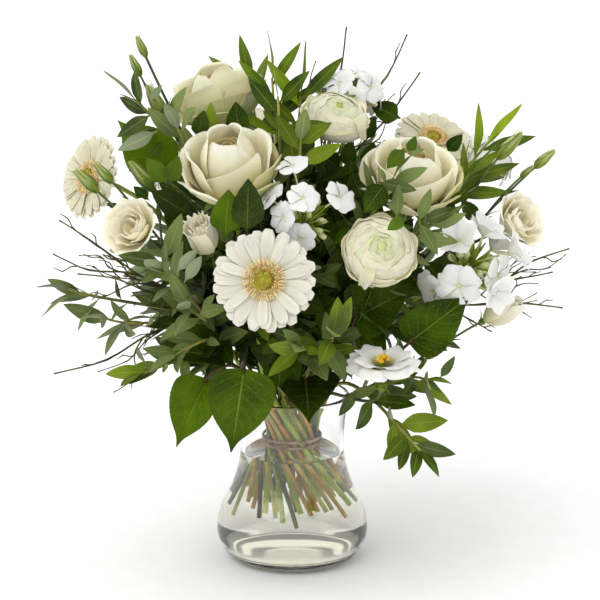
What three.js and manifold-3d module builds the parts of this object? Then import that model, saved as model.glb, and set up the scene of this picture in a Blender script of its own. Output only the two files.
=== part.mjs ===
// A hand-tied bouquet of cream and white flowers, green sprays and bare twigs, in a clear glass vase.
// Millimetres, +Z up. The origin is on the vase's axis, where its foot meets the table. The front faces -Y.
import * as THREE from "three";
import { mergeVertices } from "three/addons/utils/BufferGeometryUtils.js";
import Module from "manifold-3d";

const wasm = await Module();
wasm.setup();

// ---------------------------------------------------------------- driving dimensions
const gap = 0.3; // between pieces that touch
const leafGap = 0.35; // kept round every leaf
const vase = {
  wall: 4,
  floor: 11,
  sides: 20,
  waterLevel: 104,
  // radius and height along the outside, from the foot to the rim
  outline: [
    [50, 0], [62, 6], [69.5, 18], [71.5, 31], [67.5, 50], [56.5, 73], [50, 96], [49, 122], [53.5, 160],
  ],
};
// The stems cross the tie in rings, all leaning the same way round, so straight stems never meet.
const tie = {
  height: 116,
  neck: 157,
  rings: [
    { count: 1, radius: 0, slope: 0 },
    { count: 7, radius: 8, slope: 0.22 },
    { count: 13, radius: 15.3, slope: 0.42 },
    { count: 18, radius: 22.5, slope: 0.6 },
  ],
  cutHeight: 41,
  cutSpread: 17,
};
const twine = { radius: 26.9, depth: 0.8, thick: 1.8, coils: 2, sides: 18 };
const heart = new THREE.Vector3(0, 0, 285); // the middle of the dome of flowers
const leafShapes = {
  eucalyptus: { length: 46, width: 16, thick: 1.3, lean: 0.75, droop: 0.1, fold: 1.2 },
  pistachio: { length: 60, width: 13, thick: 1.3, lean: 0.35, droop: 0.02, fold: 1.5 },
  rose: { length: 44, width: 25, thick: 1.4, lean: 0.6, droop: 0.12, fold: 2 },
  lisianthus: { length: 34, width: 11, thick: 1.3, lean: 0.7, droop: 0.2, fold: 1.2 },
};
const petiole = { width: 2, thick: 0.7, fold: 0.5 };
const colours = {
  glass: 0xe9f1f0, water: 0xdfe9e6, twine: 0xb98f6a, cream: 0xf3ecd0, white: 0xf6f5ef, disc: 0xc9a93c,
  green: 0x5f7d3a, eucalyptus: 0x6b8460, salal: 0x2f5a16, pistachio: 0x6f9a2c, twig: 0x4a4a2a,
};

// ---------------------------------------------------------------- the arrangement
// at: the middle of a bloom; face: the way it looks; size: its radius.
const roses = [
  { name: "rose_front", at: [-54, -95, 391], face: [-0.08, -0.36, 0.93], size: 40, leaves: 3 },
  { name: "rose_top", at: [-68, 20, 440], face: [-0.2, -0.1, 0.97], size: 40, leaves: 2 },
  { name: "rose_right", at: [107, -75, 379], face: [0.14, -0.34, 0.93], size: 40, leaves: 2 },
  { name: "rose_rear", at: [-30, 130, 375], face: [-0.1, 0.7, 0.7], size: 39, leaves: 2 },
];
const gerberas = [
  { name: "gerbera_front", at: [-23, -168, 305], face: [-0.05, -0.95, 0.3], size: 43 },
  { name: "gerbera_left", at: [-184, -30, 370], face: [-0.72, -0.62, 0.3], size: 38 },
  { name: "gerbera_right", at: [132, 40, 396], face: [0.2, -0.5, 0.84], size: 36 },
];
const ranunculus = [
  { name: "ranunculus_front", at: [76, -140, 325], face: [0.12, -0.86, 0.5], size: 32 },
  { name: "ranunculus_top", at: [40, -40, 428], face: [0.2, -0.5, 0.84], size: 30 },
  { name: "ranunculus_rear", at: [80, 120, 350], face: [0.45, 0.75, 0.5], size: 31 },
];
// Each plant has blooms, and buds given by the place of the tip and the size.
const lisianthus = [
  {
    name: "lisianthus_left",
    blooms: [
      { name: "lisianthus_left", at: [-139, -95, 335], face: [-0.45, -0.75, 0.48], size: 25, kind: "open" },
      { name: "lisianthus_half", at: [-76, -128, 333], face: [-0.3, -0.5, 0.8], size: 17, kind: "closed" },
    ],
    buds: [[-191, -75, 384, 11], [-173, -78, 390, 9], [-144, -52, 388, 13]],
    leaves: 1,
  },
  {
    name: "lisianthus_right",
    blooms: [
      { name: "lisianthus_right", at: [204, -40, 331], face: [0.65, -0.6, 0.46], size: 25, kind: "open" },
    ],
    buds: [[206, -40, 412, 12], [236, -38, 396, 9], [216, -52, 384, 6]],
    leaves: 1,
  },
  {
    name: "lisianthus_low",
    blooms: [
      { name: "lisianthus_low", at: [80, -150, 229], face: [0.05, -0.42, 0.9], size: 31, kind: "bell" },
      { name: "lisianthus_bud", at: [187, -70, 254], face: [0.8, -0.3, 0.52], size: 18, kind: "closed" },
    ],
    buds: [],
    leaves: 1,
  },
  {
    name: "lisianthus_tall",
    blooms: [],
    buds: [[-141, 5, 494, 8], [-146, -8, 478, 8], [-131, -12, 452, 13]],
    leaves: 1,
  },
];
const phloxes = [
  { name: "phlox_centre", at: [12, -118, 350], face: [0.05, -0.8, 0.6], size: 27 },
  { name: "phlox_right", at: [165, -88, 300], face: [0.55, -0.72, 0.42], size: 32 },
  { name: "phlox_top", at: [56, 15, 450], face: [0.15, -0.05, 0.98], size: 27 },
  { name: "phlox_back", at: [187, 64, 378], face: [0.62, 0.25, 0.75], size: 26 },
  { name: "phlox_rear", at: [-110, 110, 350], face: [-0.6, 0.65, 0.45], size: 28 },
];
// Each spray is a main shoot to its first tip, with a side shoot to each other tip.
// Its name starts with its kind.
const sprays = [
  { name: "pistachio_top", tips: [[-18, 0, 456], [-40, 74, 440], [8, -6, 440]], leaves: 4 },
  { name: "eucalyptus_top", tips: [[-12, -68, 448], [8, -88, 412]], leaves: 5 },
  { name: "eucalyptus_upper_left", tips: [[-140, -30, 440], [-100, -70, 420]], leaves: 5 },
  { name: "eucalyptus_left", tips: [[-195, -115, 285], [-165, -110, 258]], leaves: 6 },
  { name: "eucalyptus_lower_left", tips: [[-128, -135, 215], [-100, -150, 235]], leaves: 5 },
  { name: "eucalyptus_mid_left", tips: [[-112, -148, 308], [-88, -158, 278]], leaves: 5 },
  { name: "eucalyptus_lower_right", tips: [[112, -155, 150], [118, -120, 205]], leaves: 6 },
  { name: "eucalyptus_right", tips: [[88, -118, 384], [122, -125, 345]], leaves: 5 },
  { name: "eucalyptus_centre", tips: [[34, -176, 258], [8, -165, 245]], leaves: 5 },
  { name: "pistachio_right", tips: [[178, 0, 395], [160, -30, 372]], leaves: 4 },
  { name: "eucalyptus_rear_left", tips: [[-150, 120, 270], [-70, 165, 300]], leaves: 4 },
  { name: "eucalyptus_rear_right", tips: [[150, 115, 265], [30, 170, 290]], leaves: 4 },
];
// Each broad leaf runs from its foot to its tip, and its upper face looks one way.
const salals = [
  {
    name: "salal_lower_left",
    leaves: [
      { foot: [-74, -118, 204], tip: [-104, -132, 147], width: 44, look: [-0.2, -0.9, 0.35] },
      { foot: [-42, -128, 216], tip: [-52, -148, 146], width: 58, look: [0.15, -0.9, 0.35] },
      { foot: [-66, -84, 216], tip: [-122, -122, 236], width: 46, look: [-0.2, -0.7, 0.7] },
    ],
  },
  {
    name: "salal_rim",
    leaves: [{ foot: [12, -66, 190], tip: [16, -118, 172], width: 58, look: [0.05, -0.5, 0.85] }],
  },
  {
    name: "salal_right",
    leaves: [
      { foot: [104, -108, 236], tip: [157, -118, 280], width: 46, look: [0.3, -0.85, 0.4] },
      { foot: [56, -88, 252], tip: [106, -100, 284], width: 52, look: [0.2, -0.8, 0.5] },
    ],
  },
  {
    name: "salal_upper_left",
    leaves: [{ foot: [-112, -26, 376], tip: [-158, -20, 420], width: 48, look: [-0.3, -0.85, 0.4] }],
  },
  {
    name: "salal_rear",
    leaves: [
      { foot: [20, 80, 230], tip: [40, 130, 190], width: 50, look: [0.1, 0.8, 0.5] },
      { foot: [-40, 90, 240], tip: [-85, 140, 215], width: 46, look: [-0.3, 0.8, 0.5] },
      { foot: [90, 70, 250], tip: [150, 90, 235], width: 46, look: [0.5, 0.6, 0.6] },
    ],
  },
];
const twigs = [
  {
    name: "twigs_left",
    tips: [[-204, -92, 342], [-208, -112, 316], [-186, -120, 300], [-210, -112, 208]],
    forks: 1,
  },
  { name: "twigs_right", tips: [[250, -50, 308], [244, -62, 256], [236, -48, 286]], forks: 1 },
  { name: "twigs_top", tips: [[50, 24, 500], [106, 34, 492], [118, 26, 458]], forks: 1 },
];

// ---------------------------------------------------------------- small tools
const up = new THREE.Vector3(0, 0, 1);
const vec = ([x, y, z]) => new THREE.Vector3(x, y, z);
const unit = (p) => vec(p).normalize();
const mix = (a, b, t) => a + (b - a) * t;
const polar = (radius, angle, z) => new THREE.Vector3(radius * Math.cos(angle), radius * Math.sin(angle), z);
const towards = (from, to) => to.clone().sub(from).normalize();

// A stream of draws between 0 and 1, the same on every run.
function dice(seed) {
  let state = (seed * 7919 + 12345) % 2147483647;
  return () => {
    state = (state * 16807) % 2147483647;
    return state / 2147483647;
  };
}

// Two directions square to an axis and to each other.
function across(axis) {
  const guide = Math.abs(axis.z) > 0.95 ? new THREE.Vector3(1, 0, 0) : up;
  const x = new THREE.Vector3().crossVectors(guide, axis).normalize();
  return [x, new THREE.Vector3().crossVectors(axis, x).normalize()];
}

// Stands a geometry made round +Z on a point, looking along an axis.
function stand(geometry, point, axis) {
  const [x, y] = across(axis);
  return geometry.applyMatrix4(new THREE.Matrix4().makeBasis(x, y, axis).setPosition(point));
}

function geometryFrom(points, faces) {
  const geometry = new THREE.BufferGeometry().setFromPoints(points);
  geometry.setIndex(faces.flat());
  return geometry;
}

function solidOf(geometry) {
  const bare = geometry.clone();
  bare.deleteAttribute("normal");
  bare.deleteAttribute("uv");
  const merged = mergeVertices(bare, 1e-4);
  const vertProperties = merged.attributes.position.array;
  const triVerts = Uint32Array.from(merged.index.array);
  const build = () => new wasm.Manifold(new wasm.Mesh({ numProp: 3, vertProperties, triVerts }));
  const solid = build();
  if (solid.volume() > 0) return solid;
  for (let i = 0; i < triVerts.length; i += 3) {
    [triVerts[i], triVerts[i + 1]] = [triVerts[i + 1], triVerts[i]];
  }
  return build();
}

const fuse = (geometries) => wasm.Manifold.union(geometries.map(solidOf));

// A closed body through rings of points; an end ring of one point closes to a tip.
function loft(rings) {
  const points = rings.flat();
  const faces = [];
  let start = 0;
  for (let i = 0; i + 1 < rings.length; i++) {
    const [low, high] = [rings[i].length, rings[i + 1].length];
    const next = start + low;
    for (let k = 0; k < Math.max(low, high); k++) {
      const [a, b] = [start + (k % low), start + ((k + 1) % low)];
      const [c, d] = [next + (k % high), next + ((k + 1) % high)];
      if (a !== b) faces.push([a, b, d]);
      if (c !== d) faces.push([a, d, c]);
    }
    start = next;
  }
  for (let k = 1; k + 1 < rings[0].length; k++) faces.push([0, k + 1, k]);
  for (let k = 1; k + 1 < rings.at(-1).length; k++) faces.push([start, start + k, start + k + 1]);
  return geometryFrom(points, faces);
}

// A tube along a path, with a radius at each point of it.
function tube(path, radii, sides) {
  let x = null;
  return loft(path.map((point, i) => {
    const tangent = towards(path[Math.max(i - 1, 0)], path[Math.min(i + 1, path.length - 1)]);
    if (!x) x = across(tangent)[0];
    x = x.clone().addScaledVector(tangent, -x.dot(tangent)).normalize();
    const y = new THREE.Vector3().crossVectors(tangent, x);
    return Array.from({ length: sides }, (_, k) => {
      const corner = polar(radii[i], (2 * Math.PI * k) / sides, 0);
      return point.clone().addScaledVector(x, corner.x).addScaledVector(y, corner.y);
    });
  }));
}

const taper = (path, from, to) => path.map((_, i) => mix(from, to, i / (path.length - 1)));

// A thin blade over surface(u, v), u from -1 to 1 and v from 0 to 1, split alike on both faces.
function blade(columns, rows, thickness, surface) {
  const step = 0.01;
  const face = (side) => {
    const points = [];
    for (let j = 0; j <= rows; j++) {
      for (let i = 0; i <= columns; i++) {
        const [u, v] = [(2 * i) / columns - 1, j / rows];
        const du = surface(u + step, v).sub(surface(u - step, v));
        const dv = surface(u, v + step).sub(surface(u, v - step));
        points.push(surface(u, v).addScaledVector(du.cross(dv).normalize(), (side * thickness) / 2));
      }
    }
    return points;
  };
  const points = [...face(1), ...face(-1)];
  const back = points.length / 2;
  const wide = columns + 1;
  const faces = [];
  for (let j = 0; j < rows; j++) {
    for (let i = 0; i < columns; i++) {
      const [a, b, c, d] = [0, 1, wide + 1, wide].map((k) => j * wide + i + k);
      faces.push([a, b, c], [a, c, d], [a + back, c + back, b + back], [a + back, d + back, c + back]);
    }
  }
  const rim = [];
  for (let i = 0; i < columns; i++) rim.push(i);
  for (let j = 0; j < rows; j++) rim.push(j * wide + columns);
  for (let i = columns; i > 0; i--) rim.push(rows * wide + i);
  for (let j = rows; j > 0; j--) rim.push(j * wide);
  rim.forEach((a, i) => {
    const b = rim[(i + 1) % rim.length];
    faces.push([a, a + back, b + back], [a, b + back, b]);
  });
  return geometryFrom(points, faces);
}

function lathe(outline, sides) {
  const profile = outline.map(([radius, height]) => new THREE.Vector2(radius, height));
  return new THREE.LatheGeometry(profile, sides).rotateX(Math.PI / 2);
}

// ---------------------------------------------------------------- what is already in place
const nodes = new Map();

function place(name, solid, colour) {
  nodes.set(name, { solid, colour, box: solid.boundingBox() });
}

function boxesMeet(a, b) {
  return [0, 1, 2].every((k) => a.min[k] <= b.max[k] && b.min[k] <= a.max[k]);
}

function isClear(geometry, skip, near = []) {
  const solid = solidOf(geometry);
  const box = solid.boundingBox();
  const others = [...nodes].filter(([name]) => !skip.includes(name)).map(([, node]) => node);
  return [...others, ...near].every((other) => {
    return !boxesMeet(box, other.box) || solid.intersect(other.solid).isEmpty();
  });
}

// ---------------------------------------------------------------- ways for stems and shoots
// Sideways moves that a shoot tries, in order, to pass clear of what is in place.
const sways = [[0, 0]];
for (const size of [7, 14, 22, 32]) {
  for (let k = 0; k < 8; k++) sways.push([size, (k * Math.PI) / 4]);
}

// A path that leaves its start and arrives at its end along two directions, swayed aside, crooked for a twig.
function way({ start, leave, end, arrive, steps, crook = 0, seed = 1 }, [size, angle]) {
  const length = start.distanceTo(end);
  const [x, y] = across(towards(start, end));
  const shift = x.multiplyScalar(size * Math.cos(angle)).addScaledVector(y, size * Math.sin(angle));
  const curve = new THREE.CubicBezierCurve3(
    start,
    start.clone().addScaledVector(leave, length * 0.34).add(shift),
    end.clone().addScaledVector(arrive, length * -0.3).add(shift),
    end,
  );
  const draw = dice(seed);
  return curve.getPoints(steps).map((point, i) => {
    const jog = new THREE.Vector3(draw() - 0.5, draw() - 0.5, draw() - 0.5);
    return i && i < steps ? point.addScaledVector(jog, crook) : point;
  });
}

// The first way that is clear, or none.
function findWay(plan, from, to, sides, skip) {
  for (const sway of sways) {
    const path = way(plan, sway);
    const radii = taper(path, from, to);
    if (isClear(tube(path, radii.map((r) => r + gap * 1.5), sides), skip)) return path;
  }
  return null;
}

function spotOn(path, t) {
  const at = Math.min(t, 0.9999) * (path.length - 1);
  const i = Math.floor(at);
  return { point: path[i].clone().lerp(path[i + 1], at - i), tangent: towards(path[i], path[i + 1]) };
}

// ---------------------------------------------------------------- stems through the tie
const stems = new Map();

function planStem(name, [x, y, z], radius, sides) {
  const lean = Math.atan2(Math.hypot(x, y), z - tie.height);
  const cut = tie.cutHeight + tie.cutSpread * dice(stems.size + 1)();
  stems.set(name, { radius, sides, cut, lean, bearing: Math.atan2(y, x) });
}

// The most upright stems take the middle of the tie, and each ring is filled in order round the axis.
function seatStems() {
  const waiting = [...stems.values()].sort((a, b) => a.lean - b.lean);
  for (const ring of tie.rings) {
    const twist = Math.atan2(ring.slope * (tie.neck - tie.height), ring.radius);
    const chosen = waiting.splice(0, ring.count).sort((a, b) => a.bearing - b.bearing);
    const pitch = (2 * Math.PI) / chosen.length;
    const drift = chosen.reduce((sum, stem, i) => sum + stem.bearing - i * pitch, 0) / chosen.length;
    chosen.forEach((stem, i) => Object.assign(stem, { ring, angle: drift + twist + i * pitch }));
  }
}

// The point of a stem's straight part at a height.
function onStem({ ring, angle }, height) {
  const slip = ring.slope * (height - tie.height);
  return polar(ring.radius, angle, height).addScaledVector(polar(1, angle - Math.PI / 2, 0), slip);
}

// A stem from its cut end, through the tie, to an end above: the whole path, and the part above the neck.
function growStem(name, end, arrive, topRadius, skip = [], steps = 4) {
  const stem = stems.get(name);
  const neck = onStem(stem, tie.neck);
  const leave = towards(onStem(stem, tie.height), neck);
  const upper = findWay({ start: neck, leave, end, arrive, steps }, stem.radius, topRadius, stem.sides, skip);
  const path = [onStem(stem, stem.cut), ...upper];
  const radii = [stem.radius, ...taper(upper, stem.radius, topRadius)];
  return { upper, body: tube(path, radii, stem.sides) };
}

function sideShoot(upper, t, end, arrive, from, to, skip) {
  const { point, tangent } = spotOn(upper, t);
  const leave = tangent.multiplyScalar(0.6).addScaledVector(towards(point, end), 0.8).normalize();
  const path = findWay({ start: point, leave, end, arrive, steps: 3 }, from, to, 4, skip);
  return path && { path, body: tube(path, taper(path, from, to), 4) };
}

// ---------------------------------------------------------------- leaves
function leafBody({ root, aim, face }, shape, scale, grow = 0) {
  const side = new THREE.Vector3().crossVectors(aim, face).normalize();
  const length = shape.length * scale + grow;
  const ring = (t, width, thick, fold) => [[width / 2, fold], [-width / 2, fold], [0, -thick]]
    .map(([s, n]) => root.clone()
      .addScaledVector(aim, length * t)
      .addScaledVector(side, s)
      .addScaledVector(face, n - shape.droop * length * t * t));
  const [wide, thick] = [shape.width * scale + 2 * grow, shape.thick + 2 * grow];
  const tip = ring(1, 0, 0, 0)[0];
  return loft([
    [root.clone()],
    ring(0.12, petiole.width + 2 * grow, petiole.thick + 2 * grow, petiole.fold),
    ring(0.38, wide, thick, shape.fold),
    ring(0.72, wide * 0.74, thick, shape.fold),
    [tip],
  ]);
}

// Turns round the shoot, and sizes, that a leaf tries in order.
const leafTries = [];
for (const scale of [1, 0.72]) {
  for (const turn of [0, 0.5, -0.5, 1.0, -1.0, 1.6, -1.6, 2.4]) leafTries.push({ turn, scale });
}

function leafPose(path, t, turn, lean) {
  const { point, tangent } = spotOn(path, t);
  const [x, y] = across(tangent);
  const radial = x.multiplyScalar(Math.cos(turn)).addScaledVector(y, Math.sin(turn));
  const atTip = t > 0.99;
  const tilt = atTip ? 0 : lean;
  const aim = tangent.clone().multiplyScalar(Math.cos(tilt)).addScaledVector(radial, Math.sin(tilt));
  const root = atTip ? point.addScaledVector(tangent, -3) : point;
  const out = towards(heart, root).multiplyScalar(0.8).addScaledVector(up, 0.7);
  const face = out.addScaledVector(aim, -out.dot(aim));
  return { root, aim, face: face.length() < 0.15 ? across(aim)[1] : face.normalize() };
}

// Leaves in turn along a shoot, each bent clear of what is near it, or left off.
function growLeaves(path, count, first, shape, draw, skip, near) {
  const leaves = [];
  for (let i = 0; i < count; i++) {
    const t = mix(first, 1, i / Math.max(1, count - 1));
    const turn = i * 2.4 + draw() * 0.6;
    const size = mix(0.8, 1.12, draw()) * (t > 0.85 ? 0.85 : 1);
    for (const attempt of leafTries) {
      const pose = leafPose(path, t, turn + attempt.turn, shape.lean);
      const scale = size * attempt.scale;
      const ahead = { ...pose, root: pose.root.clone().addScaledVector(pose.aim, 4) };
      if (!isClear(leafBody(ahead, shape, scale, leafGap), skip, near)) continue;
      if (!isClear(leafBody(pose, shape, scale, leafGap), skip)) continue;
      const body = leafBody(pose, shape, scale);
      leaves.push(body);
      const solid = solidOf(body);
      near.push({ solid, box: solid.boundingBox() });
      break;
    }
  }
  return leaves;
}

// ---------------------------------------------------------------- blooms, made round +Z with the foot at 0
// Rows of a bloom from its foot, out and over each layer of petals, to its heart, in shares of its size:
// radius, height, petals in the layer, columns that it is shifted by, pleat where petals overlap, scallop.
const layers = {
  rose: [
    [0.2, 0.0, 5, 0, 0, 0], [0.8, 0.42, 5, 0, 0.04, 0.02], [0.97, 0.86, 5, 0, 0.05, 0.06],
    [0.9, 0.98, 5, 0, 0.05, 0.07], [0.66, 0.74, 5, 0, 0, 0], [0.7, 1.12, 5, 1, 0.04, 0.05],
    [0.62, 1.16, 5, 1, 0.04, 0.05], [0.46, 0.92, 5, 1, 0, 0], [0.42, 1.32, 3, 2, 0.05, 0.04],
    [0.33, 1.33, 3, 2, 0.05, 0.04], [0, 1.1],
  ],
  ranunculus: [
    [0.24, 0.0, 5, 0, 0, 0], [0.86, 0.3, 5, 0, 0.03, 0.02], [0.98, 0.66, 5, 0, 0.04, 0.05],
    [0.92, 0.7, 5, 0, 0.04, 0.05], [0.8, 0.58, 5, 0, 0, 0], [0.8, 0.86, 5, 1, 0.03, 0.03],
    [0.73, 0.88, 5, 1, 0.03, 0.03], [0.62, 0.74, 5, 1, 0, 0], [0.58, 0.99, 5, 2, 0.03, 0.02],
    [0.51, 1.0, 5, 2, 0.03, 0.02], [0, 0.86],
  ],
  open: [
    [0.16, 0.0, 5, 0, 0, 0], [0.5, 0.42, 5, 0, 0.03, 0], [1.0, 1.08, 5, 0, 0.07, 0.08],
    [0.95, 1.15, 5, 0, 0.07, 0.08], [0.5, 0.66, 5, 0, 0, 0], [0.6, 1.18, 3, 1, 0.06, 0.05],
    [0.52, 1.2, 3, 1, 0.06, 0.05], [0.26, 0.7, 3, 1, 0, 0], [0.24, 1.1, 3, 3, 0.05, 0.03], [0, 0.95],
  ],
  closed: [
    [0.2, 0.0, 5, 0, 0, 0], [0.78, 0.75, 5, 0, 0.06, 0], [0.94, 1.75, 5, 0, 0.1, 0.1],
    [0.82, 1.82, 5, 0, 0.1, 0.1], [0.55, 1.3, 5, 0, 0, 0], [0.5, 1.95, 3, 2, 0.07, 0.04],
    [0.36, 1.95, 3, 2, 0.07, 0.04], [0, 1.5],
  ],
  bell: [
    [0.14, 0.0, 5, 0, 0, 0], [0.4, 0.3, 5, 0, 0.03, 0], [0.8, 0.85, 5, 0, 0.06, 0.04],
    [1.02, 1.1, 5, 0, 0.06, 0.07], [0.97, 1.16, 5, 0, 0.06, 0.07], [0.7, 0.86, 5, 0, 0.05, 0.03],
    [0.22, 0.35, 5, 0, 0, 0], [0.14, 0.75, 5, 2, 0.05, 0.05], [0, 0.7],
  ],
};
const depths = { rose: 0.55, gerbera: 0.1, ranunculus: 0.5, open: 0.75, closed: 0.95, bell: 0.75 };

function layeredBloom(rows, size) {
  const columns = 15;
  const [, heartHeight] = rows.at(-1);
  const rings = rows.slice(0, -1).map(([radius, height, petals, shift, pleat, scallop]) => {
    const points = columns / petals;
    return Array.from({ length: columns }, (_, k) => {
      const share = mix(0.08, 0.92, ((k + shift) % points) / (points - 1));
      const petal = Math.floor((k + shift) / points);
      const angle = (2 * Math.PI * (petal + share - shift / points)) / petals;
      const reach = radius + pleat * (2 * share - 1) + 0.4 * pleat * Math.sin(Math.PI * share);
      return polar(reach * size, angle, (height + scallop * (2 * Math.sin(Math.PI * share) - 1)) * size);
    });
  });
  return loft([[new THREE.Vector3()], ...rings, [new THREE.Vector3(0, 0, heartHeight * size)]]);
}

// Ray petals cut from one thin dish, with every second petal raised above its neighbours.
const rays = { count: 18, thick: 1, dish: 0.1, rise: 1.6, fall: -1 };

function gerberaRays(size) {
  const outline = [[0, 0.5, 0], [0.18, 0.88, 0.4], [0.5, 1, 0.6], [0.82, 0.88, 0.4]];
  const rim = [];
  for (let i = 0; i < rays.count; i++) {
    for (const [share, reach, raised] of outline) {
      const lift = (i % 2 ? rays.rise : rays.fall) * raised + rays.dish * size * reach * reach;
      rim.push(polar(reach * size, ((i + share) * 2 * Math.PI) / rays.count, lift));
    }
  }
  const raise = (point) => point.clone().addScaledVector(up, rays.thick);
  const n = rim.length;
  const middle = new THREE.Vector3();
  const points = [...rim.map(raise), ...rim, raise(middle), middle];
  const faces = [];
  for (let i = 0; i < n; i += 4) {
    const next = (i + 4) % n;
    faces.push([2 * n, i, next], [2 * n + 1, next + n, i + n]);
    for (const [p, q, r] of [[i, i + 1, i + 2], [i, i + 2, next], [next, i + 2, i + 3]]) {
      faces.push([p, q, r], [p + n, r + n, q + n]);
    }
  }
  for (let i = 0; i < n; i++) {
    const j = (i + 1) % n;
    faces.push([i, i + n, j + n], [i, j + n, j]);
  }
  return geometryFrom(points, faces);
}

// The disc of small florets: knobs in a ring round a dimple.
function gerberaDisc(size) {
  const sides = 12;
  const foot = rays.thick + gap + rays.dish * size * 0.25 * 0.54;
  const rings = [[0.27, 0], [0.29, 0.09], [0.2, 0.14], [0.11, 0.08]].map(([radius, height], row) =>
    Array.from({ length: sides }, (_, k) => {
      const knob = row && k % 2 ? 0.03 : 0;
      return polar(radius * size, (2 * Math.PI * k) / sides, foot + (height + knob) * size);
    }));
  return loft([...rings, [new THREE.Vector3(0, 0, foot + 0.1 * size)]]);
}

// A five-lobed floret on a tapering tube, looking along +Z.
function phloxFloret(size, depth) {
  const lobes = 5;
  const ring = (reach, notch, z, dip) => Array.from({ length: 2 * lobes }, (_, k) =>
    polar((k % 2 ? notch : reach) * size, (Math.PI * k) / lobes, k % 2 ? z - dip : z));
  const under = ring(0.3, 0.3, -2.2, 0).filter((_, k) => k % 2);
  const rim = ring(1, 0.6, 0, -0.8);
  const points = [...rim, ...under, new THREE.Vector3(0, 0, -0.6), new THREE.Vector3(0, 0, -depth)];
  const [centre, tail] = [3 * lobes, 3 * lobes + 1];
  const faces = [];
  for (let k = 0; k < 2 * lobes; k++) {
    const next = (k + 1) % (2 * lobes);
    const [a, b] = [k, next].map((i) => 2 * lobes + (Math.floor(i / 2) % lobes));
    faces.push([centre, k, next], [next, k, a]);
    if (a !== b) faces.push([next, a, b], [tail, b, a]);
  }
  return geometryFrom(points, faces);
}

// Directions spread over a dome: one at its top and then rings round it.
function domeDirections(counts, tilts) {
  return counts.flatMap((count, row) => Array.from({ length: count }, (_, k) => {
    const turn = (2 * Math.PI * (k + 0.5 * (row % 2))) / count;
    return polar(Math.sin(tilts[row]), turn, Math.cos(tilts[row]));
  }));
}

// Florets in a dome, with round buds lower down, on a small green core.
function phloxHead(size, draw) {
  const core = lathe([[0, -0.45 * size], [0.4 * size, 0.1 * size], [0, 0.4 * size]], 5);
  const parts = [core];
  for (const axis of domeDirections([1, 5], [0, 0.92])) {
    const reach = size * mix(0.86, 0.98, draw());
    parts.push(stand(phloxFloret(0.44 * size, reach * 0.8), axis.clone().multiplyScalar(reach), axis));
  }
  for (const axis of domeDirections([2], [1.35])) {
    const reach = size * mix(0.74, 0.9, draw());
    const path = [0.2, 0.86, 1].map((share) => axis.clone().multiplyScalar(reach * share));
    parts.push(tube(path, [0.8, 2.4, 0.8], 4));
  }
  return parts;
}

function cupOf(size, radius, depth, reach, fall) {
  return { radius: radius * size, depth: depth * size, reach: reach * size, fall: fall * size };
}

// A green cup under a bloom with five sepals; its top is the gap below the bloom's foot.
function calyx({ radius, depth, reach, fall }) {
  const ring = (near, far, low, high) => Array.from({ length: 10 }, (_, k) =>
    polar(k % 2 ? far : near, (Math.PI * k) / 5, k % 2 ? high : low));
  return loft([
    [new THREE.Vector3(0, 0, -depth)],
    ring(radius, reach, -0.4 * depth, -0.4 * depth - fall),
    ring(radius * 0.96, reach * 0.96, -0.4 * depth + 1, -0.4 * depth - fall + 1),
    ring(radius * 0.8, radius * 0.8, -gap, -gap),
    [new THREE.Vector3(0, 0, -gap)],
  ]);
}

function bud(tip, aim, size) {
  const path = [2.6, 1.5, 0].map((back) => tip.clone().addScaledVector(aim, -back * size));
  return { foot: path[0], body: tube(path, [0.3, 0.52, 0.12].map((r) => r * size), 4) };
}

// ---------------------------------------------------------------- building the arrangement
const facing = (item) => unit(item.face);
const kindOf = (spray) => spray.name.split("_")[0];
const footOf = (item, kind) => vec(item.at).addScaledVector(facing(item), -depths[kind] * item.size);
const budAim = (tip) => towards(new THREE.Vector3(0, 0, 240), tip).addScaledVector(up, 0.25).normalize();

for (const item of [...roses, ...gerberas]) planStem(item.name, item.at, 2.6, 5);
for (const item of [...ranunculus, ...phloxes]) planStem(item.name, item.at, 2.3, 4);
for (const plant of lisianthus) planStem(plant.name, plant.blooms[0]?.at ?? plant.buds[0], 2.2, 4);
for (const spray of sprays) planStem(spray.name, spray.tips[0], 2.1, 4);
for (const salal of salals) planStem(salal.name, salal.leaves[0].foot, 2.0, 4);
for (const twig of twigs) planStem(twig.name, twig.tips[0], 2.1, 4);
seatStems();

function buildVase() {
  const curve = new THREE.SplineCurve(vase.outline.map(([x, y]) => new THREE.Vector2(x, y)));
  const outside = curve.getPoints(9).map((p) => [p.x, p.y]);
  const wall = outside.filter(([, height]) => height > vase.floor + 4);
  const inside = wall.map(([radius, height]) => [radius - vase.wall, height]);
  inside.unshift([inside[0][0] - 6, vase.floor]);
  const outline = [[0, 0], ...outside, ...[...inside].reverse(), [0, vase.floor]];
  place("vase", solidOf(lathe(outline, vase.sides)), "glass");
  return inside;
}

function buildBlooms() {
  const put = (item, kind, part, geometry, colour) =>
    place(item.name + part, solidOf(stand(geometry, footOf(item, kind), facing(item))), colour);
  for (const rose of roses) put(rose, "rose", "_petals", layeredBloom(layers.rose, rose.size), "cream");
  for (const gerbera of gerberas) {
    put(gerbera, "gerbera", "_rays", gerberaRays(gerbera.size), "white");
    put(gerbera, "gerbera", "_disc", gerberaDisc(gerbera.size), "disc");
  }
  for (const flower of ranunculus) {
    put(flower, "ranunculus", "_petals", layeredBloom(layers.ranunculus, flower.size), "cream");
  }
  for (const { blooms } of lisianthus) {
    for (const bloom of blooms) {
      put(bloom, bloom.kind, "_petals", layeredBloom(layers[bloom.kind], bloom.size), "white");
    }
  }
  phloxes.forEach((phlox, i) => {
    const foot = vec(phlox.at).addScaledVector(facing(phlox), -0.6 * phlox.size);
    phlox.parts = phloxHead(phlox.size, dice(100 + i)).map((part) => stand(part, foot, facing(phlox)));
    place(phlox.name, fuse(phlox.parts), "white");
  });
}

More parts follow.
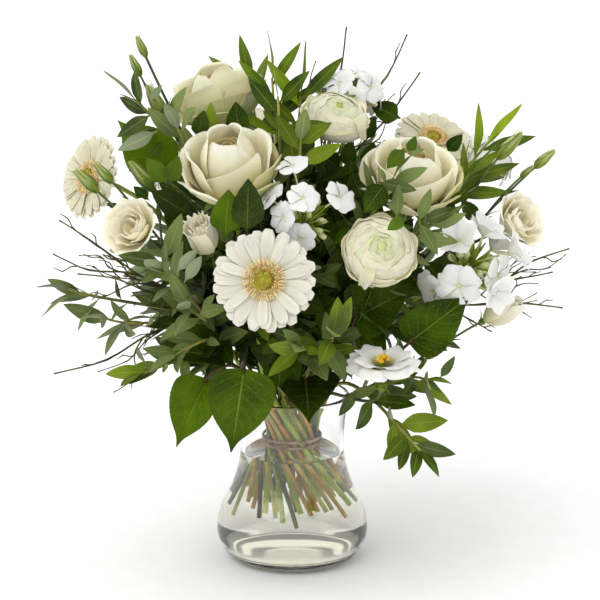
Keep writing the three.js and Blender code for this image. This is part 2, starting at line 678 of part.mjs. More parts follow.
// A broad leaf with a waved, toothed edge, folded up along its rib and drooping at its tip.
function salalLeaf({ foot, tip, width, look }) {
  const start = vec(foot);
  const aim = towards(start, vec(tip));
  const length = start.distanceTo(vec(tip));
  const normal = vec(look).addScaledVector(aim, -vec(look).dot(aim)).normalize();
  const side = new THREE.Vector3().crossVectors(aim, normal);
  const shares = [0.08, 1, 0.82, 0.05];
  const rows = shares.length - 1;
  return blade(2, rows, 1, (u, v) => {
    const at = Math.max(0, Math.min(0.9999, v)) * rows;
    const share = mix(shares[Math.floor(at)], shares[Math.floor(at) + 1], at % 1);
    const wave = Math.round(at) % 2 ? 1.4 : -1.4;
    return start.clone()
      .addScaledVector(aim, length * v)
      .addScaledVector(side, (u * share * width) / 2)
      .addScaledVector(normal, 4 + (5 + wave) * Math.abs(u) * share - 9 * v * v);
  });
}

function bloomStem(item, kind, cup, topRadius, shape, count, seed) {
  const axis = facing(item);
  const foot = footOf(item, kind);
  const neck = foot.clone().addScaledVector(axis, -cup.depth * 0.8);
  const stem = growStem(item.name, neck, axis, topRadius, [], 3);
  const green = [stem.body, stand(calyx(cup), foot, axis)];
  if (count) green.push(...growLeaves(stem.upper, count + 1, 0.5, shape, dice(seed), [], []).slice(0, count));
  place(item.name + "_stem", fuse(green), "green");
}

function buildBloomStems() {
  roses.forEach((rose, i) => {
    const cup = cupOf(rose.size, 0.2, 0.34, 0.62, 0.22);
    bloomStem(rose, "rose", cup, 2.2, leafShapes.rose, rose.leaves, 200 + i);
  });
  for (const gerbera of gerberas) {
    bloomStem(gerbera, "gerbera", cupOf(gerbera.size, 0.3, 0.34, 0.34, 0), 2.2);
  }
  for (const flower of ranunculus) {
    bloomStem(flower, "ranunculus", cupOf(flower.size, 0.24, 0.3, 0.5, 0.12), 1.9);
  }
  for (const phlox of phloxes) {
    const axis = facing(phlox);
    const neck = vec(phlox.at).addScaledVector(axis, -0.95 * phlox.size);
    const stem = growStem(phlox.name, neck, axis, 1.9, [phlox.name], 3);
    place(phlox.name, fuse([...phlox.parts, stem.body]), "white");
  }
}

function buildLisianthus(plant, seed) {
  const parts = [];
  const ends = [];
  for (const bloom of plant.blooms) {
    const axis = facing(bloom);
    const foot = footOf(bloom, bloom.kind);
    const cup = cupOf(bloom.size, 0.18, 0.34, 0.6, -0.1);
    parts.push(stand(calyx(cup), foot, axis));
    ends.push({ end: foot.addScaledVector(axis, -0.27 * bloom.size), axis });
  }
  for (const [x, y, z, size] of plant.buds) {
    const tip = new THREE.Vector3(x, y, z);
    const axis = budAim(tip);
    const made = bud(tip, axis, size);
    parts.push(made.body);
    ends.push({ end: made.foot.addScaledVector(axis, 1), axis });
  }
  const [lead, ...others] = ends;
  const stem = growStem(plant.name, lead.end, lead.axis, 1.3);
  parts.push(stem.body);
  others.forEach(({ end, axis }, k) => {
    const shoot = sideShoot(stem.upper, 0.5 + 0.12 * k, end, axis, 1.3, 1.1, []);
    if (shoot) parts.push(shoot.body);
  });
  parts.push(...growLeaves(stem.upper, plant.leaves, 0.55, leafShapes.lisianthus, dice(seed), [], []));
  place(plant.name + "_stem", fuse(parts), "green");
}

function buildSalal(salal) {
  const blades = salal.leaves.map(salalLeaf);
  const aimOf = (leaf) => towards(vec(leaf.foot), vec(leaf.tip)).addScaledVector(up, 0.35).normalize();
  const endOf = (leaf) => vec(leaf.foot).addScaledVector(unit(leaf.look), 4).addScaledVector(aimOf(leaf), 4);
  const [lead, ...others] = salal.leaves;
  const stem = growStem(salal.name, endOf(lead), aimOf(lead), 1.4);
  const parts = [stem.body, ...blades];
  for (const leaf of others) {
    parts.push(sideShoot(stem.upper, 0.4, endOf(leaf), aimOf(leaf), 1.5, 1.3, []).body);
  }
  place(salal.name, fuse(parts), "salal");
}

function buildShoots(spray) {
  const fan = new THREE.Vector3(0, 0, 170);
  const aimOf = (tip) => towards(fan, tip).addScaledVector(up, tip.z < 250 ? -0.35 : 0).normalize();
  const [lead, ...others] = spray.tips.map(vec);
  const stem = growStem(spray.name, lead, aimOf(lead), 1.2);
  spray.paths = [stem.upper];
  spray.parts = [stem.body];
  others.forEach((tip, k) => {
    const shoot = sideShoot(stem.upper, 0.42 + 0.12 * k, tip, aimOf(tip), 1.4, 1.1, []);
    if (!shoot) return;
    spray.paths.push(shoot.path);
    spray.parts.push(shoot.body);
  });
  place(spray.name, fuse(spray.parts), kindOf(spray));
}

function buildSprayLeaves(spray, seed) {
  const draw = dice(seed);
  const near = [];
  const leaves = spray.paths.flatMap((path, k) => {
    const count = k ? spray.leaves - 2 : spray.leaves;
    return growLeaves(path, count, k ? 0.35 : 0.45, leafShapes[kindOf(spray)], draw, [spray.name], near);
  });
  place(spray.name, fuse([...spray.parts, ...leaves]), kindOf(spray));
}

// Crooked shoots from a short way up one stem, each with forks.
function buildTwigs(twig, seed) {
  const middle = new THREE.Vector3(0, 0, 190);
  const aimOf = (tip) => towards(new THREE.Vector3(0, 0, 230), tip);
  const tips = twig.tips.map(vec);
  const crown = tips[0].clone().lerp(middle, 0.5);
  const stem = growStem(twig.name, crown, aimOf(tips[0]), 1.8);
  const parts = [stem.body];
  tips.forEach((tip, k) => {
    const { point, tangent } = spotOn(stem.upper, 0.98 - 0.13 * k);
    const plan = { start: point, leave: tangent, end: tip, arrive: aimOf(tip), steps: 4, crook: 9 };
    const path = findWay({ ...plan, seed: seed + 10 * k }, 1.5, 0.8, 3, [twig.name]);
    if (!path) return;
    parts.push(tube(path, taper(path, 1.5, 0.8), 3));
    for (let f = 0; f < twig.forks; f++) {
      const draw = dice(seed + 10 * k + f + 1);
      const from = path[1 + f];
      const ahead = towards(from, path[2 + f]);
      const [x, y] = across(ahead);
      const angle = draw() * 2 * Math.PI;
      const spread = x.multiplyScalar(Math.cos(angle)).addScaledVector(y, Math.sin(angle));
      const aim = ahead.addScaledVector(spread, 0.7).normalize();
      const end = from.clone().addScaledVector(aim, mix(30, 50, draw()));
      const fork = { start: from, leave: aim, end, arrive: aim, steps: 2, crook: 6, seed: seed + 10 * k + f };
      const branch = findWay(fork, 1, 0.7, 3, [twig.name]);
      if (branch) parts.push(tube(branch, taper(branch, 1, 0.7), 3));
    }
  });
  place(twig.name, fuse(parts), "twig");
}

function buildTwine() {
  const { radius, thick, coils, sides } = twine;
  const low = tie.height - coils * thick;
  const outline = [[radius, low]];
  for (let k = 0; k < coils; k++) {
    outline.push([radius + thick, low + (2 * k + 1) * thick], [radius, low + (2 * k + 2) * thick]);
  }
  const high = low + 2 * coils * thick;
  const back = radius - twine.depth;
  place("twine", solidOf(lathe([...outline, [back, high], [back, low], [radius, low]], sides)), "twine");
}

// Water with a plain hole for each stem.
function buildWater(inside) {
  const level = vase.waterLevel;
  const wet = inside.filter(([, height]) => height < level);
  const bank = wet.map(([radius, height]) => [radius - 2 * gap, height]);
  bank[0][1] += gap;
  const above = inside.findIndex(([, height]) => height > level);
  const [[r0, z0], [r1, z1]] = [inside[above - 1], inside[above]];
  bank.push([mix(r0, r1, (level - z0) / (z1 - z0)) - 2 * gap, level]);
  const holes = [...stems.values()].map((stem) => {
    const cut = onStem(stem, stem.cut);
    const neck = onStem(stem, tie.neck);
    const radius = stem.radius + gap / Math.cos(Math.PI / stem.sides);
    return tube([cut.addScaledVector(towards(neck, cut), gap), neck], [radius, radius], stem.sides);
  });
  const body = solidOf(lathe([[0, vase.floor + gap], ...bank, [0, level]], vase.sides));
  place("water", body.subtract(fuse(holes)), "water");
}

const inside = buildVase();
buildBlooms();
salals.forEach(buildSalal);
buildBloomStems();
lisianthus.forEach((plant, i) => buildLisianthus(plant, 300 + i));
sprays.forEach(buildShoots);
twigs.forEach((twig, i) => buildTwigs(twig, 400 + 100 * i));
sprays.forEach((spray, i) => buildSprayLeaves(spray, 800 + i));
buildTwine();
buildWater(inside);

// ---------------------------------------------------------------- the scene graph
const looks = {
  glass: { roughness: 0.03, transparent: true, opacity: 0.3 },
  water: { roughness: 0.02, transparent: true, opacity: 0.4 },
};

function meshOf(name, { solid, colour }) {
  const { numProp, numVert, vertProperties, triVerts } = solid.getMesh();
  const points = new Float32Array(numVert * 3);
  for (let i = 0; i < numVert; i++) points.set(vertProperties.subarray(i * numProp, i * numProp + 3), i * 3);
  const geometry = new THREE.BufferGeometry();
  geometry.setAttribute("position", new THREE.BufferAttribute(points, 3));
  geometry.setIndex(new THREE.BufferAttribute(triVerts, 1));
  geometry.computeVertexNormals();
  const look = looks[colour] ?? { roughness: 0.6 };
  const material = new THREE.MeshStandardMaterial({ color: colours[colour], ...look });
  const mesh = new THREE.Mesh(geometry, material);
  mesh.name = name;
  return mesh;
}

const bouquet = new THREE.Group();
nodes.forEach((node, name) => bouquet.add(meshOf(name, node)));
export default bouquet;
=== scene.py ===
import math
from random import Random

import bmesh
import bpy
from mathutils import Matrix, Vector, noise
from mathutils.kdtree import KDTree


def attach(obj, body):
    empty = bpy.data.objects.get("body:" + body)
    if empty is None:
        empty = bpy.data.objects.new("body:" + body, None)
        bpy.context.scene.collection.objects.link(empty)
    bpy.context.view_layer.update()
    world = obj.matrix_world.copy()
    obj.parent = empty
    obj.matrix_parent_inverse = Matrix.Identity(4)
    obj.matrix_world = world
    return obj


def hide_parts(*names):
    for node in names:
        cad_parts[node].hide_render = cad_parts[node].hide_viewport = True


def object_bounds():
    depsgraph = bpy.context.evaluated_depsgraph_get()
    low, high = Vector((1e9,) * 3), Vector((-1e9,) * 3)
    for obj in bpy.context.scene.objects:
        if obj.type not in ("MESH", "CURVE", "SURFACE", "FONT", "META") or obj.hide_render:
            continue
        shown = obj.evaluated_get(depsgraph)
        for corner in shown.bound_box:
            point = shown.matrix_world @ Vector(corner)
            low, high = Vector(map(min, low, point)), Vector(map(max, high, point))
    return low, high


# A hand-tied bouquet of cream and white flowers, green sprays and bare twigs in a clear glass vase.
# Settings are in millimetres, or in shares of a bloom's radius or a leaf's length. The front faces -Y.
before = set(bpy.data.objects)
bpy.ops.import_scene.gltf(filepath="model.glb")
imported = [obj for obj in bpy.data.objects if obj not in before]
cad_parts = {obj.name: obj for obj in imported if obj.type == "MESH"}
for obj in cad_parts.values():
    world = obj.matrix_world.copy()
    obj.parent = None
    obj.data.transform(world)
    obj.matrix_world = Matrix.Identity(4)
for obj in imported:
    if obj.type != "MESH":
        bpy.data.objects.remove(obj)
cadBox = [list(corner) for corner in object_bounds()]
mm = 0.001
up = Vector((0, 0, 1))
heart = Vector((0, 0, 285))  # the middle of the dome of flowers
goldenAngle = 2.39996  # radians from one bud of a seed head's spiral to the next


# Choosing, copying and joining objects.
def clearSelection():
    bpy.ops.object.select_all(action="DESELECT")


def focus(ob):
    clearSelection()
    ob.select_set(True)
    bpy.context.view_layer.objects.active = ob


def applyModifier(ob, kind, **settings):
    focus(ob)
    modifier = ob.modifiers.new(kind, kind)
    for key, value in settings.items():
        setattr(modifier, key, value)
    bpy.ops.object.modifier_apply(modifier=modifier.name)


def smoothByAngle(ob, degrees=50):
    focus(ob)
    bpy.ops.object.shade_smooth_by_angle(angle=math.radians(degrees))


def linked(name, data):
    ob = bpy.data.objects.new(name, data)
    bpy.context.collection.objects.link(ob)
    return ob


def setTone(ob, tone):  # 0 to 1, which the finishes read as shade or age
    values = ob.data.attributes.get("tone") or ob.data.attributes.new("tone", "FLOAT", "POINT")
    values.data.foreach_set("value", [tone] * len(ob.data.vertices))


def copyOf(model, matrix, tone=0.5):
    copy = linked(model.name, model.data.copy())
    copy.data.transform(matrix)
    setTone(copy, tone)
    return copy


def joined(name, parts):
    focus(parts[0])
    for part in parts:
        part.select_set(True)
    bpy.ops.object.join()
    parts[0].name = parts[0].data.name = name
    return parts[0]


def finishPiece(name, parts, slot, *nodes):
    piece = joined(name, parts)
    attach(piece, "root")
    if nodes:
        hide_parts(*nodes)
    return piece


def camel(name):
    first, *rest = name.split("_")
    return first + "".join(word.title() for word in rest)


models = []  # shapes that are copied, and deleted at the end


def keepModel(ob, *looks):
    for look in looks:
        ob.data.materials.append(look)
    models.append(ob)
    return ob


# Numbers and curves.
def mix(a, b, t):
    return a + (b - a) * t


def smoothStep(low, high, value):
    t = min(1, max(0, (value - low) / (high - low)))
    return t * t * (3 - 2 * t)


def valueAt(table, t):
    at = min(max(t, 0), 0.9999) * (len(table) - 1)
    return mix(table[int(at)], table[int(at) + 1], at % 1)


def curveAt(points, t):
    at = min(max(t, 0), 0.9999) * (len(points) - 1)
    i, w = int(at), at % 1
    p = [Vector(points[min(max(k, 0), len(points) - 1)]) for k in (i - 1, i, i + 1, i + 2)]
    a, b = (p[2] - p[0]) / 2, (p[3] - p[1]) / 2
    return (p[1] * 2 - p[2] * 2 + a + b) * w**3 + (p[2] * 3 - p[1] * 3 - a * 2 - b) * w**2 + a * w + p[1]


def smoothPath(points, steps):
    count = (len(points) - 1) * steps
    return [curveAt(points, i / count) for i in range(count)] + [points[-1]]


def taper(ends, count):
    return [mix(*ends, i / (count - 1)) for i in range(count)]


def around(x, y, angle):
    return x * math.cos(angle) + y * math.sin(angle)


def square(direction, axis):  # the part of a direction that stands square to the axis
    return direction - axis * direction.dot(axis)


def onDome(tilt, turn):
    return Vector((math.sin(tilt) * math.cos(turn), math.sin(tilt) * math.sin(turn), math.cos(tilt)))


def scatter(draw, size):
    return Vector([draw.uniform(-size, size) for _ in range(3)])


def across(axis):
    guide = Vector((1, 0, 0)) if abs(axis.z) > 0.95 else up
    x = guide.cross(axis).normalized()
    return x, axis.cross(x).normalized()


def basis(x, y, z, spot, scale=1.0):
    matrix = Matrix((x * scale, y * scale, z * scale)).transposed().to_4x4()
    matrix.translation = spot
    return matrix


def stand(spot, axis, scale=1.0):
    return basis(*across(axis), axis, spot, scale)


def turned(angle, axis="Z"):
    return Matrix.Rotation(angle, 4, axis)


# Modelling: sheets, spun shapes and strands.
def sheetModel(name, columns, rows, shares, place, thickness, looks, split=False):
    clearSelection()
    bpy.ops.mesh.primitive_grid_add(x_subdivisions=columns, y_subdivisions=rows, size=2)
    ob = bpy.context.object
    ob.name = name
    bpy.ops.object.mode_set(mode="EDIT")
    mesh = bmesh.from_edit_mesh(ob.data)
    levels = sorted({round(vert.co.y, 5) for vert in mesh.verts})
    for level in levels:  # each row is chosen by its place and drawn in to the outline
        bpy.ops.mesh.select_all(action="DESELECT")
        mesh = bmesh.from_edit_mesh(ob.data)
        for vert in mesh.verts:
            vert.select = abs(vert.co.y - level) < 1e-4
        mesh.select_flush(True)
        bmesh.update_edit_mesh(ob.data)
        share = valueAt(shares, (level + 1) / 2)
        bpy.ops.transform.resize(value=(share, 1, 1), center_override=(0, level, 0))
    bpy.ops.object.mode_set(mode="OBJECT")
    for vert in ob.data.vertices:  # cupped and curled, which no operator gives
        vert.co = place(vert.co.x, (vert.co.y + 1) / 2)
    keepModel(ob, *looks)
    applyModifier(ob, "SOLIDIFY", thickness=thickness, offset=0, material_offset=1 if split else 0)
    smoothByAngle(ob)
    return ob


def mended(ob, gap):  # doubles merged, and faces turned outwards
    focus(ob)
    bpy.ops.object.mode_set(mode="EDIT")
    bpy.ops.mesh.select_all(action="SELECT")
    bpy.ops.mesh.remove_doubles(threshold=gap)
    bpy.ops.mesh.normals_make_consistent(inside=False)
    bpy.ops.object.mode_set(mode="OBJECT")
    smoothByAngle(ob, 60)


def spunModel(name, profile, steps, look, keep=True):
    mesh = bpy.data.meshes.new(name)
    mesh.from_pydata([(x, 0, z) for x, z in profile], [(i, i + 1) for i in range(len(profile) - 1)], [])
    ob = linked(name, mesh)
    focus(ob)
    bpy.ops.object.mode_set(mode="EDIT")
    bpy.ops.mesh.select_all(action="SELECT")
    bpy.ops.mesh.spin(steps=steps, angle=2 * math.pi, center=(0, 0, 0), axis=(0, 0, 1))
    bpy.ops.object.mode_set(mode="OBJECT")
    mended(ob, 1e-5)
    if keep:
        keepModel(ob, look)
    else:
        ob.data.materials.append(look)
    return ob


def strandsOf(name, strands, look, resolution=1):  # each strand: its points and its radii
    curve = bpy.data.curves.new(name, "CURVE")
    curve.dimensions = "3D"
    curve.bevel_depth = mm
    curve.bevel_resolution = resolution
    curve.use_fill_caps = True
    for points, radii in strands:
        spline = curve.splines.new("POLY")
        spline.points.add(len(points) - 1)
        for spot, point, radius in zip(spline.points, points, radii):
            spot.co = (*(point * mm), 1)
            spot.radius = radius
    ob = linked(name, curve)
    focus(ob)
    bpy.ops.object.convert(target="MESH")
    mended(ob, 1e-6)
    ob.data.materials.clear()
    ob.data.materials.append(look)
    setTone(ob, 0.5)
    return ob


# Finishes. A pattern's scale counts its waves in each metre on Object coordinates, so 1000 gives waves of 1 mm, and
# in each petal or leaf on the UV map.
def linear(hexColour):
    channels = [int(hexColour[i:i + 2], 16) / 255 for i in (1, 3, 5)]
    return [c / 12.92 if c <= 0.04045 else ((c + 0.055) / 1.055) ** 2.4 for c in channels] + [1]


def addNode(tree, kind, sockets=None, stops=(), **properties):
    node = tree.nodes.new("ShaderNode" + kind)
    for key, value in properties.items():
        setattr(node, key, value)
    for _ in stops[2:]:  # a colour ramp has two stops to begin with
        node.color_ramp.elements.new(0.5)
    for i, (position, colour) in enumerate(stops):
        node.color_ramp.elements[i].position = position
        node.color_ramp.elements[i].color = linear(colour)
    for key, value in (sockets or {}).items():
        if isinstance(value, bpy.types.Node):
            value = value.outputs[0]
        if isinstance(value, bpy.types.NodeSocket):
            tree.links.new(value, node.inputs[key])
        else:
            node.inputs[key].default_value = value
    return node


def newLook(name):
    material = bpy.data.materials.new(name)
    material.use_nodes = True
    material.node_tree.nodes.clear()
    return material, material.node_tree


def finishLook(tree, sockets, height, depth):  # depth of the relief in millimetres
    sockets["Normal"] = addNode(tree, "Bump", {"Strength": 0.6, "Distance": depth * mm, "Height": height})
    shader = addNode(tree, "BsdfPrincipled", sockets)
    addNode(tree, "OutputMaterial", {"Surface": shader})


# A petal: thin, soft and waxy, so light soaks into it. It changes colour along its length, fine veins fan out from
# its claw, and it blushes in patches. Each copy draws its own veins and shade from its tone.
def petalLook(name, along, vein, veins, veinWeight, blush, blushWeight, glow=0.35, depth=0.25, dark=0.92):
    material, tree = newLook(name)
    coords = addNode(tree, "TexCoord")
    split = addNode(tree, "SeparateXYZ", {0: coords.outputs["UV"]})
    tone = addNode(tree, "Attribute", attribute_name="tone").outputs["Fac"]
    shift = addNode(tree, "CombineXYZ", {"Z": addNode(tree, "Math", {0: tone, 1: 9.0}, operation="MULTIPLY")})
    drawn = addNode(tree, "Mapping", {"Vector": coords.outputs["UV"], "Location": shift, "Scale": (veins, 1.3, 1)})
    fan = addNode(tree, "TexNoise", {"Vector": drawn, "Scale": 1.0, "Detail": 3.0})
    mask = addNode(tree, "MapRange", {0: fan, 1: 0.45, 2: 0.75, 3: 0.0, 4: veinWeight})
    body = addNode(tree, "ValToRGB", {"Fac": split.outputs["Y"]}, along)
    veined = addNode(tree, "MixRGB", {"Fac": mask, "Color1": body, "Color2": linear(vein)})
    patches = addNode(tree, "TexNoise", {"Vector": coords.outputs["Object"], "Scale": 55.0, "Detail": 2.0})
    patch = addNode(tree, "MapRange", {0: patches, 1: 0.4, 2: 0.75, 3: 0.0, 4: blushWeight})
    blushed = addNode(tree, "MixRGB", {"Fac": patch, "Color1": veined, "Color2": linear(blush)})
    value = addNode(tree, "MapRange", {0: tone, 1: 0.0, 2: 1.0, 3: dark, 4: 1.03})
    shaded = addNode(tree, "HueSaturation", {"Value": value, "Color": blushed})
    finishLook(tree, {
        "Base Color": shaded, "Roughness": 0.5, "IOR": 1.4,
        "Subsurface Weight": glow, "Subsurface Radius": (1.0, 0.85, 0.6),
        "Subsurface Scale": 3 * mm, "Sheen Weight": 0.15, "Specular IOR Level": 0.35,
    }, fan, depth)
    return material


# A leaf: a waxy skin over green flesh, with a pale midrib, side veins and, on broad leaves, a fine net. The tone
# gives its age, from deep to young, and broad cloudy patches shift that a little.
# Low tones on the leaves deep in the bouquet are painted shade.
def leafLook(name, deep, young, body, vein, veins, slant, veinWeight, rib=0.02, ribWeight=0.75, net=0, netWeight=0,
             roughness=0.45, glow=0.12, shine=0.2, depth=0.35):
    material, tree = newLook(name)
    coords = addNode(tree, "TexCoord")
    split = addNode(tree, "SeparateXYZ", {0: coords.outputs["UV"]})
    tone = addNode(tree, "Attribute", attribute_name="tone").outputs["Fac"]
    offset = addNode(tree, "Math", {0: split.outputs["X"], 1: 0.5}, operation="SUBTRACT")
    side = addNode(tree, "Math", {0: offset}, operation="ABSOLUTE")
    midrib = addNode(tree, "MapRange", {0: side, 1: rib, 2: rib * 2.4, 3: 1.0, 4: 0.0})
    rise = addNode(tree, "Math", {0: split.outputs["Y"], 1: veins}, operation="MULTIPLY")
    run = addNode(tree, "Math", {0: side, 1: -slant, 2: rise}, operation="MULTIPLY_ADD")
    wave = addNode(tree, "Math", {0: run, 1: 0.5}, operation="PINGPONG")
    sideVeins = addNode(tree, "MapRange", {0: wave, 1: 0.01, 2: 0.07, 3: veinWeight, 4: 0.0})
    fading = addNode(tree, "MapRange", {0: side, 1: 0.1, 2: 0.5, 3: 1.0, 4: 0.15})
    sideVeins = addNode(tree, "Math", {0: sideVeins, 1: fading}, operation="MULTIPLY")
    lines = addNode(tree, "Math", {0: midrib, 1: sideVeins}, operation="MAXIMUM")
    mottle = addNode(tree, "TexNoise", {"Vector": coords.outputs["Object"], "Scale": 70.0, "Detail": 4.0})
    clouds = addNode(tree, "TexNoise", {"Vector": coords.outputs["Object"], "Scale": 28.0, "Detail": 1.0})
    swing = addNode(tree, "MapRange", {0: clouds, 1: 0.35, 2: 0.65, 3: -0.22, 4: 0.22})
    age = addNode(tree, "Math", {0: tone, 1: swing}, operation="ADD", use_clamp=True)
    blade = addNode(tree, "MixRGB", {"Fac": age, "Color1": linear(deep), "Color2": linear(young)})
    patch = addNode(tree, "MapRange", {0: mottle, 1: 0.35, 2: 0.7, 3: 0.0, 4: 0.45})
    mottled = addNode(tree, "MixRGB", {"Fac": patch, "Color1": blade, "Color2": linear(body)})
    weight = addNode(tree, "Math", {0: lines, 1: ribWeight}, operation="MULTIPLY")
    veined = addNode(tree, "MixRGB", {"Fac": weight, "Color1": mottled, "Color2": linear(vein)})
    sunk = addNode(tree, "Math", {0: mottle, 1: 0.25}, operation="MULTIPLY")
    height = addNode(tree, "Math", {0: sunk, 1: lines}, operation="SUBTRACT")
    if net:  # the blade swells between its finest veins
        stretched = addNode(tree, "Mapping", {"Vector": coords.outputs["UV"], "Scale": (1.0, 1.5, 1)})
        cells = addNode(tree, "TexVoronoi", {"Vector": stretched, "Scale": net}, feature="DISTANCE_TO_EDGE")
        mesh = addNode(tree, "MapRange", {0: cells, 1: 0.0, 2: 0.12, 3: netWeight, 4: 0.0})
        veined = addNode(tree, "MixRGB", {"Fac": mesh, "Color1": veined, "Color2": linear(vein)})
        height = addNode(tree, "Math", {0: height, 1: mesh}, operation="SUBTRACT")
    finishLook(tree, {
        "Base Color": veined, "Roughness": roughness, "IOR": 1.45,
        "Subsurface Weight": glow, "Subsurface Radius": (0.5, 1.0, 0.25),
        "Subsurface Scale": 2 * mm, "Specular IOR Level": shine,
    }, height, depth)
    return material


# Stem, bark or bud: object noise drawn out along the height, so it reads as fibre and scars about 1 mm wide.
def stemLook(name, dark, body, light, grain=(900, 900, 60), patch=35.0, glow=0.08, paintedLightInWater=0, roughness=0.5, depth=0.3):
    material, tree = newLook(name)
    coords = addNode(tree, "TexCoord")
    drawn = addNode(tree, "Mapping", {"Vector": coords.outputs["Object"], "Scale": grain})
    fibre = addNode(tree, "TexNoise", {"Vector": drawn, "Scale": 1.0, "Detail": 3.0})
    broad = addNode(tree, "TexNoise", {"Vector": coords.outputs["Object"], "Scale": patch, "Detail": 2.0})
    base = addNode(tree, "ValToRGB", {"Fac": broad}, [(0.3, dark), (0.5, body), (0.7, light)])
    streak = addNode(tree, "MapRange", {0: fibre, 1: 0.45, 2: 0.75, 3: 0.0, 4: 0.5})
    colour = addNode(tree, "MixRGB", {"Fac": streak, "Color1": base, "Color2": linear(dark)})
    if paintedLightInWater:  # painted light: paler and brighter below the neck, where it stands in water behind the glass
        place = addNode(tree, "SeparateXYZ", {0: coords.outputs["Object"]})
        paintedLight = addNode(tree, "MapRange", {0: place.outputs["Z"], 1: 0.1, 2: 0.17, 3: paintedLightInWater, 4: 1.0})
        colour = addNode(tree, "HueSaturation", {"Value": paintedLight, "Color": colour})
    finishLook(tree, {
        "Base Color": colour, "Roughness": roughness, "IOR": 1.45,
        "Subsurface Weight": glow, "Subsurface Radius": (1.0, 0.8, 0.45), "Subsurface Scale": 1.5 * mm,
    }, fibre, depth)
    return material


# A clear body: it bends what stands behind it, and a slow ripple stirs that.
def clearLook(name, colour, ior, ripple, depth):
    material, tree = newLook(name)
    coords = addNode(tree, "TexCoord")
    waves = addNode(tree, "TexNoise", {"Vector": coords.outputs["Object"], "Scale": ripple, "Detail": 1.0})
    finishLook(tree, {
        "Base Color": linear(colour), "Roughness": 0.0, "IOR": ior, "Transmission Weight": 1.0}, waves, depth)
    return material


